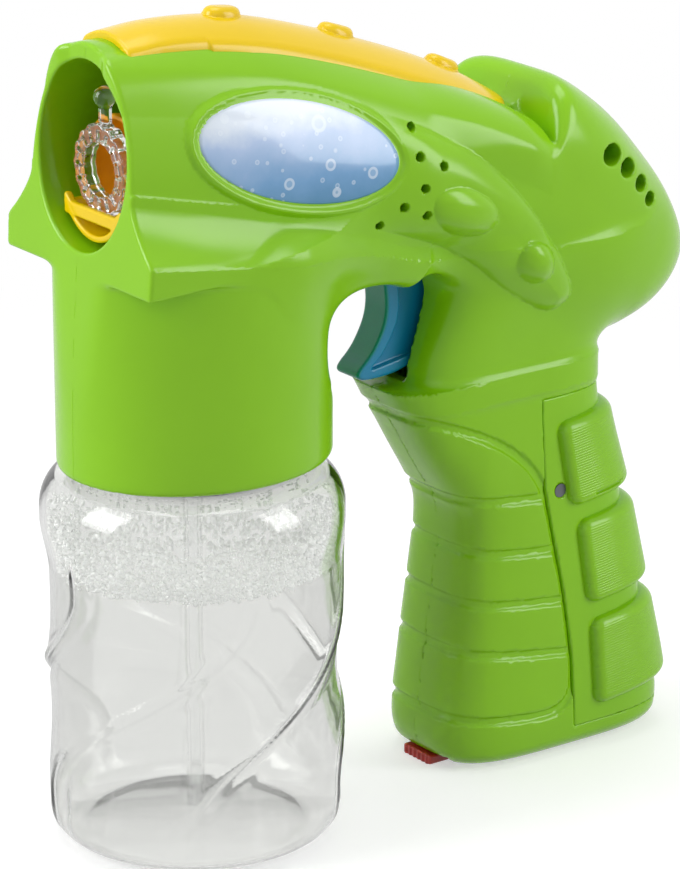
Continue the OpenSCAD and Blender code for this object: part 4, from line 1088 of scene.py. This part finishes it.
def make_bottle():
    side = np.concatenate([[0, 0.35, 0.8, 1.4, 2.2, 3.2, 4.4], np.arange(5.6, 72, 0.8),
                           [72.6, 73.6, 74.6, 75.6, 76.4, 77.2, 78, 78.6, 79.2, 79.6, 79.9,
                            80.15, 80.4]])

    def plain(*rings):
        return [(r, z, "round") for r, z in rings]

    # Outer skin from the foot up to the neck's rim, then down the inside to the floor.
    # A skin's first number is how far it lies within the outer form.
    path = plain((20, 0.55), (22.6, 0.3)) + [(0.0, z, "skin") for z in side]
    path += plain((19.6, 80.5), (18.9, 80.7), (18.6, 81.2))
    path += [(18.6, 81.2, "scallop"), (18.6, 82.4, "scallop")]
    path += plain((18.0, 82.8), (15.6, 82.9))
    path += [(15.4, z, "thread") for z in np.arange(83.2, 100.4, 0.32)]
    path += plain((15.2, 100.9), (14.6, 101), (13.5, 100.8), (13.4, 99), (13.4, 92), (13.4, 84),
                  (13.4, 81.4), (13.9, 79.9), (15.2, 79.2), (19, 79.1), (22.8, 79.0))
    path += [(WALL, z, "skin") for z in side[::-1] if 1.5 < z < 78.9]
    path += plain((22, 1.4), (0.6, 1.3))

    def skin(t, z, inset):
        return bottle_r(np.full_like(t, z)) - panel(t, z) - inset

    def radius(t, i, z):
        r, _, kind = path[i]
        if kind == "skin":
            return skin(t, z, r)
        if kind == "scallop":
            return r + 0.5 * abs(np.cos(13 * t)) - 0.3
        if kind == "thread":
            turns = (z - THREAD_Z) / THREAD_PITCH - t / TAU
            near = abs(turns - np.clip(np.round(turns), 0, 2)) * THREAD_PITCH
            ends = step((z - 87.9) / 0.8), step((97.3 - z) / 0.8)
            return r + 1.35 * (unit((0.95 - near) / 0.5) * ends[0] * ends[1])
        return r + 0 * t

    def liquid(t, i, z):
        return skin(t, z, 1.1) if i else 22.4 + 0 * t

    shell("bottle_clear_piece", [z for _, z, _ in path], radius, "bottle", "clear_plastic",
          "bottle", mat=glass)
    wet = [1.25] + [z for z in side if 1.5 < z < FILL_Z - 0.4] + [FILL_Z - 0.4, FILL_Z]
    shell("liquid", wet, liquid, "bottle", "liquid", "bubble_liquid")


make_bottle()


# Foam: small bubbles that cling to the bottle's wall above the liquid, and a layer on it.
def foam():
    kinds = []
    for level in (1, 2):
        bm = bmesh.new()
        bmesh.ops.create_icosphere(bm, subdivisions=level, radius=1.0)
        kinds.append((np.array([v.co[:] for v in bm.verts]),
                      np.array([[v.index for v in f.verts] for f in bm.faces])))
        bm.free()
    bubbles = []
    for _ in range(2300):
        t, high = rng.uniform(0, TAU), rng.beta(1.1, 2.0)
        size = 0.28 + 0.5 * rng.beta(1.3, 3.5)
        z = 59.6 + 13.5 * high
        wall = float(bottle_r(z)) - float(panel(np.array(t), np.array(z))) - WALL
        bubbles.append((t, wall - size - 0.05 - rng.exponential(0.5), z, size, size > 0.52))
    for _ in range(1400):
        t, r = rng.uniform(0, TAU), 29.0 * math.sqrt(rng.uniform(0.02, 0.94))
        size = 0.35 + 0.6 * rng.beta(1.3, 3.0)
        bubbles.append((t, r, 60.1 + 0.5 * size, size, size > 0.6))
    verts, faces, count = [], [], 0
    for t, r, z, size, smooth in bubbles:
        v, f = kinds[smooth]
        verts.append(v * size + np.array([r * math.cos(t), r * math.sin(t), z]))
        faces.append(f + count)
        count += len(v)
    obj = mesh_piece("foam_bubbles", np.concatenate(verts), np.concatenate(faces))
    dress(obj, "bottle", "foam_white", "foam")


foam()


# Floor, backdrop and light.
def seen_by(tree):
    """One for rays that show the background: straight, mirrored or through clear plastic."""
    path = node(tree, "LightPath")
    total = path.outputs["Is Camera Ray"]
    for other in ("Is Glossy Ray", "Is Transmission Ray"):
        most = node(tree, "Math", operation="MAXIMUM")
        link(total, most.inputs[0])
        link(path.outputs[other], most.inputs[1])
        total = most.outputs[0]
    return total


def mixed(tree, factor, first, second):
    """Two shaders, mixed by a factor."""
    mix = node(tree, "MixShader")
    for source, socket in zip((factor, first, second), mix.inputs):
        link(source, socket)
    return mix.outputs[0]


def glow(tree, strength):
    return node(tree, "Emission", Strength=strength).outputs[0]


def make_floor():
    """White floor: the camera sees the shadow on it, and mirrored or bent rays plain white."""
    size = 3.0
    mesh = bpy.data.meshes.new("floor")
    mesh.from_pydata([(-size, -size, 0), (size, -size, 0), (size, size, 0), (-size, size, 0)], [],
                     [(0, 1, 2, 3)])
    floor = show(mesh)
    mat, tree, bsdf = material("floor_white", Base_Color=(0.62, 0.62, 0.62, 1), Roughness=0.9)
    near = node(tree, "AddShader")
    link(bsdf.outputs[0], near.inputs[0])
    link(glow(tree, 0.5), near.inputs[1])
    away = node(tree, "VectorMath", operation="LENGTH")
    link(node(tree, "NewGeometry").outputs["Position"], away.inputs[0])
    fade = spread(tree, away.outputs["Value"], 0, 1, 0.12, 0.4, "SMOOTHSTEP")
    shown = mixed(tree, fade, near.outputs[0], glow(tree, 1.0))
    bent = mixed(tree, seen_by(tree), bsdf.outputs[0], glow(tree, 0.84))
    straight = node(tree, "LightPath").outputs["Is Camera Ray"]
    final = mixed(tree, straight, bent, shown)
    link(final, tree.nodes["Material Output"].inputs["Surface"])
    mesh.materials.append(mat)


# Lamps in metres: name, place, width, height, power. All point at LAMP_AIM.
LAMPS = [("left", (-0.8, 0.28, 0.5), 0.5, 0.7, 7), ("right", (0.6, -0.7, 0.45), 0.4, 0.7, 4.6),
         ("top", (0.05, 0.1, 0.95), 0.6, 0.5, 3.5), ("fill", (-0.5, -0.7, 0.5), 0.5, 0.5, 0.4)]
LAMP_AIM = (0.04, 0, 0.09)
AMBIENT = 0.33


def make_light():
    world = bpy.data.worlds.new("studio")
    scene.world = world
    world.use_nodes = True
    tree = world.node_tree
    sky = tree.nodes["Background"]
    put(sky, Color=(1, 1, 1, 1))
    link(spread(tree, seen_by(tree), AMBIENT, 1.0), sky.inputs["Strength"])
    for name, at, wide, tall, power in LAMPS:
        data = bpy.data.lights.new(name, "AREA")
        data.shape = "RECTANGLE"
        data.size, data.size_y, data.energy = wide, tall, power
        obj = show(data)
        obj.location = at
        turn = (Vector(LAMP_AIM) - Vector(at)).to_track_quat("-Z", "Y")
        obj.rotation_euler = turn.to_euler()


make_floor()
make_light()
scene.view_settings.view_transform = "Standard"
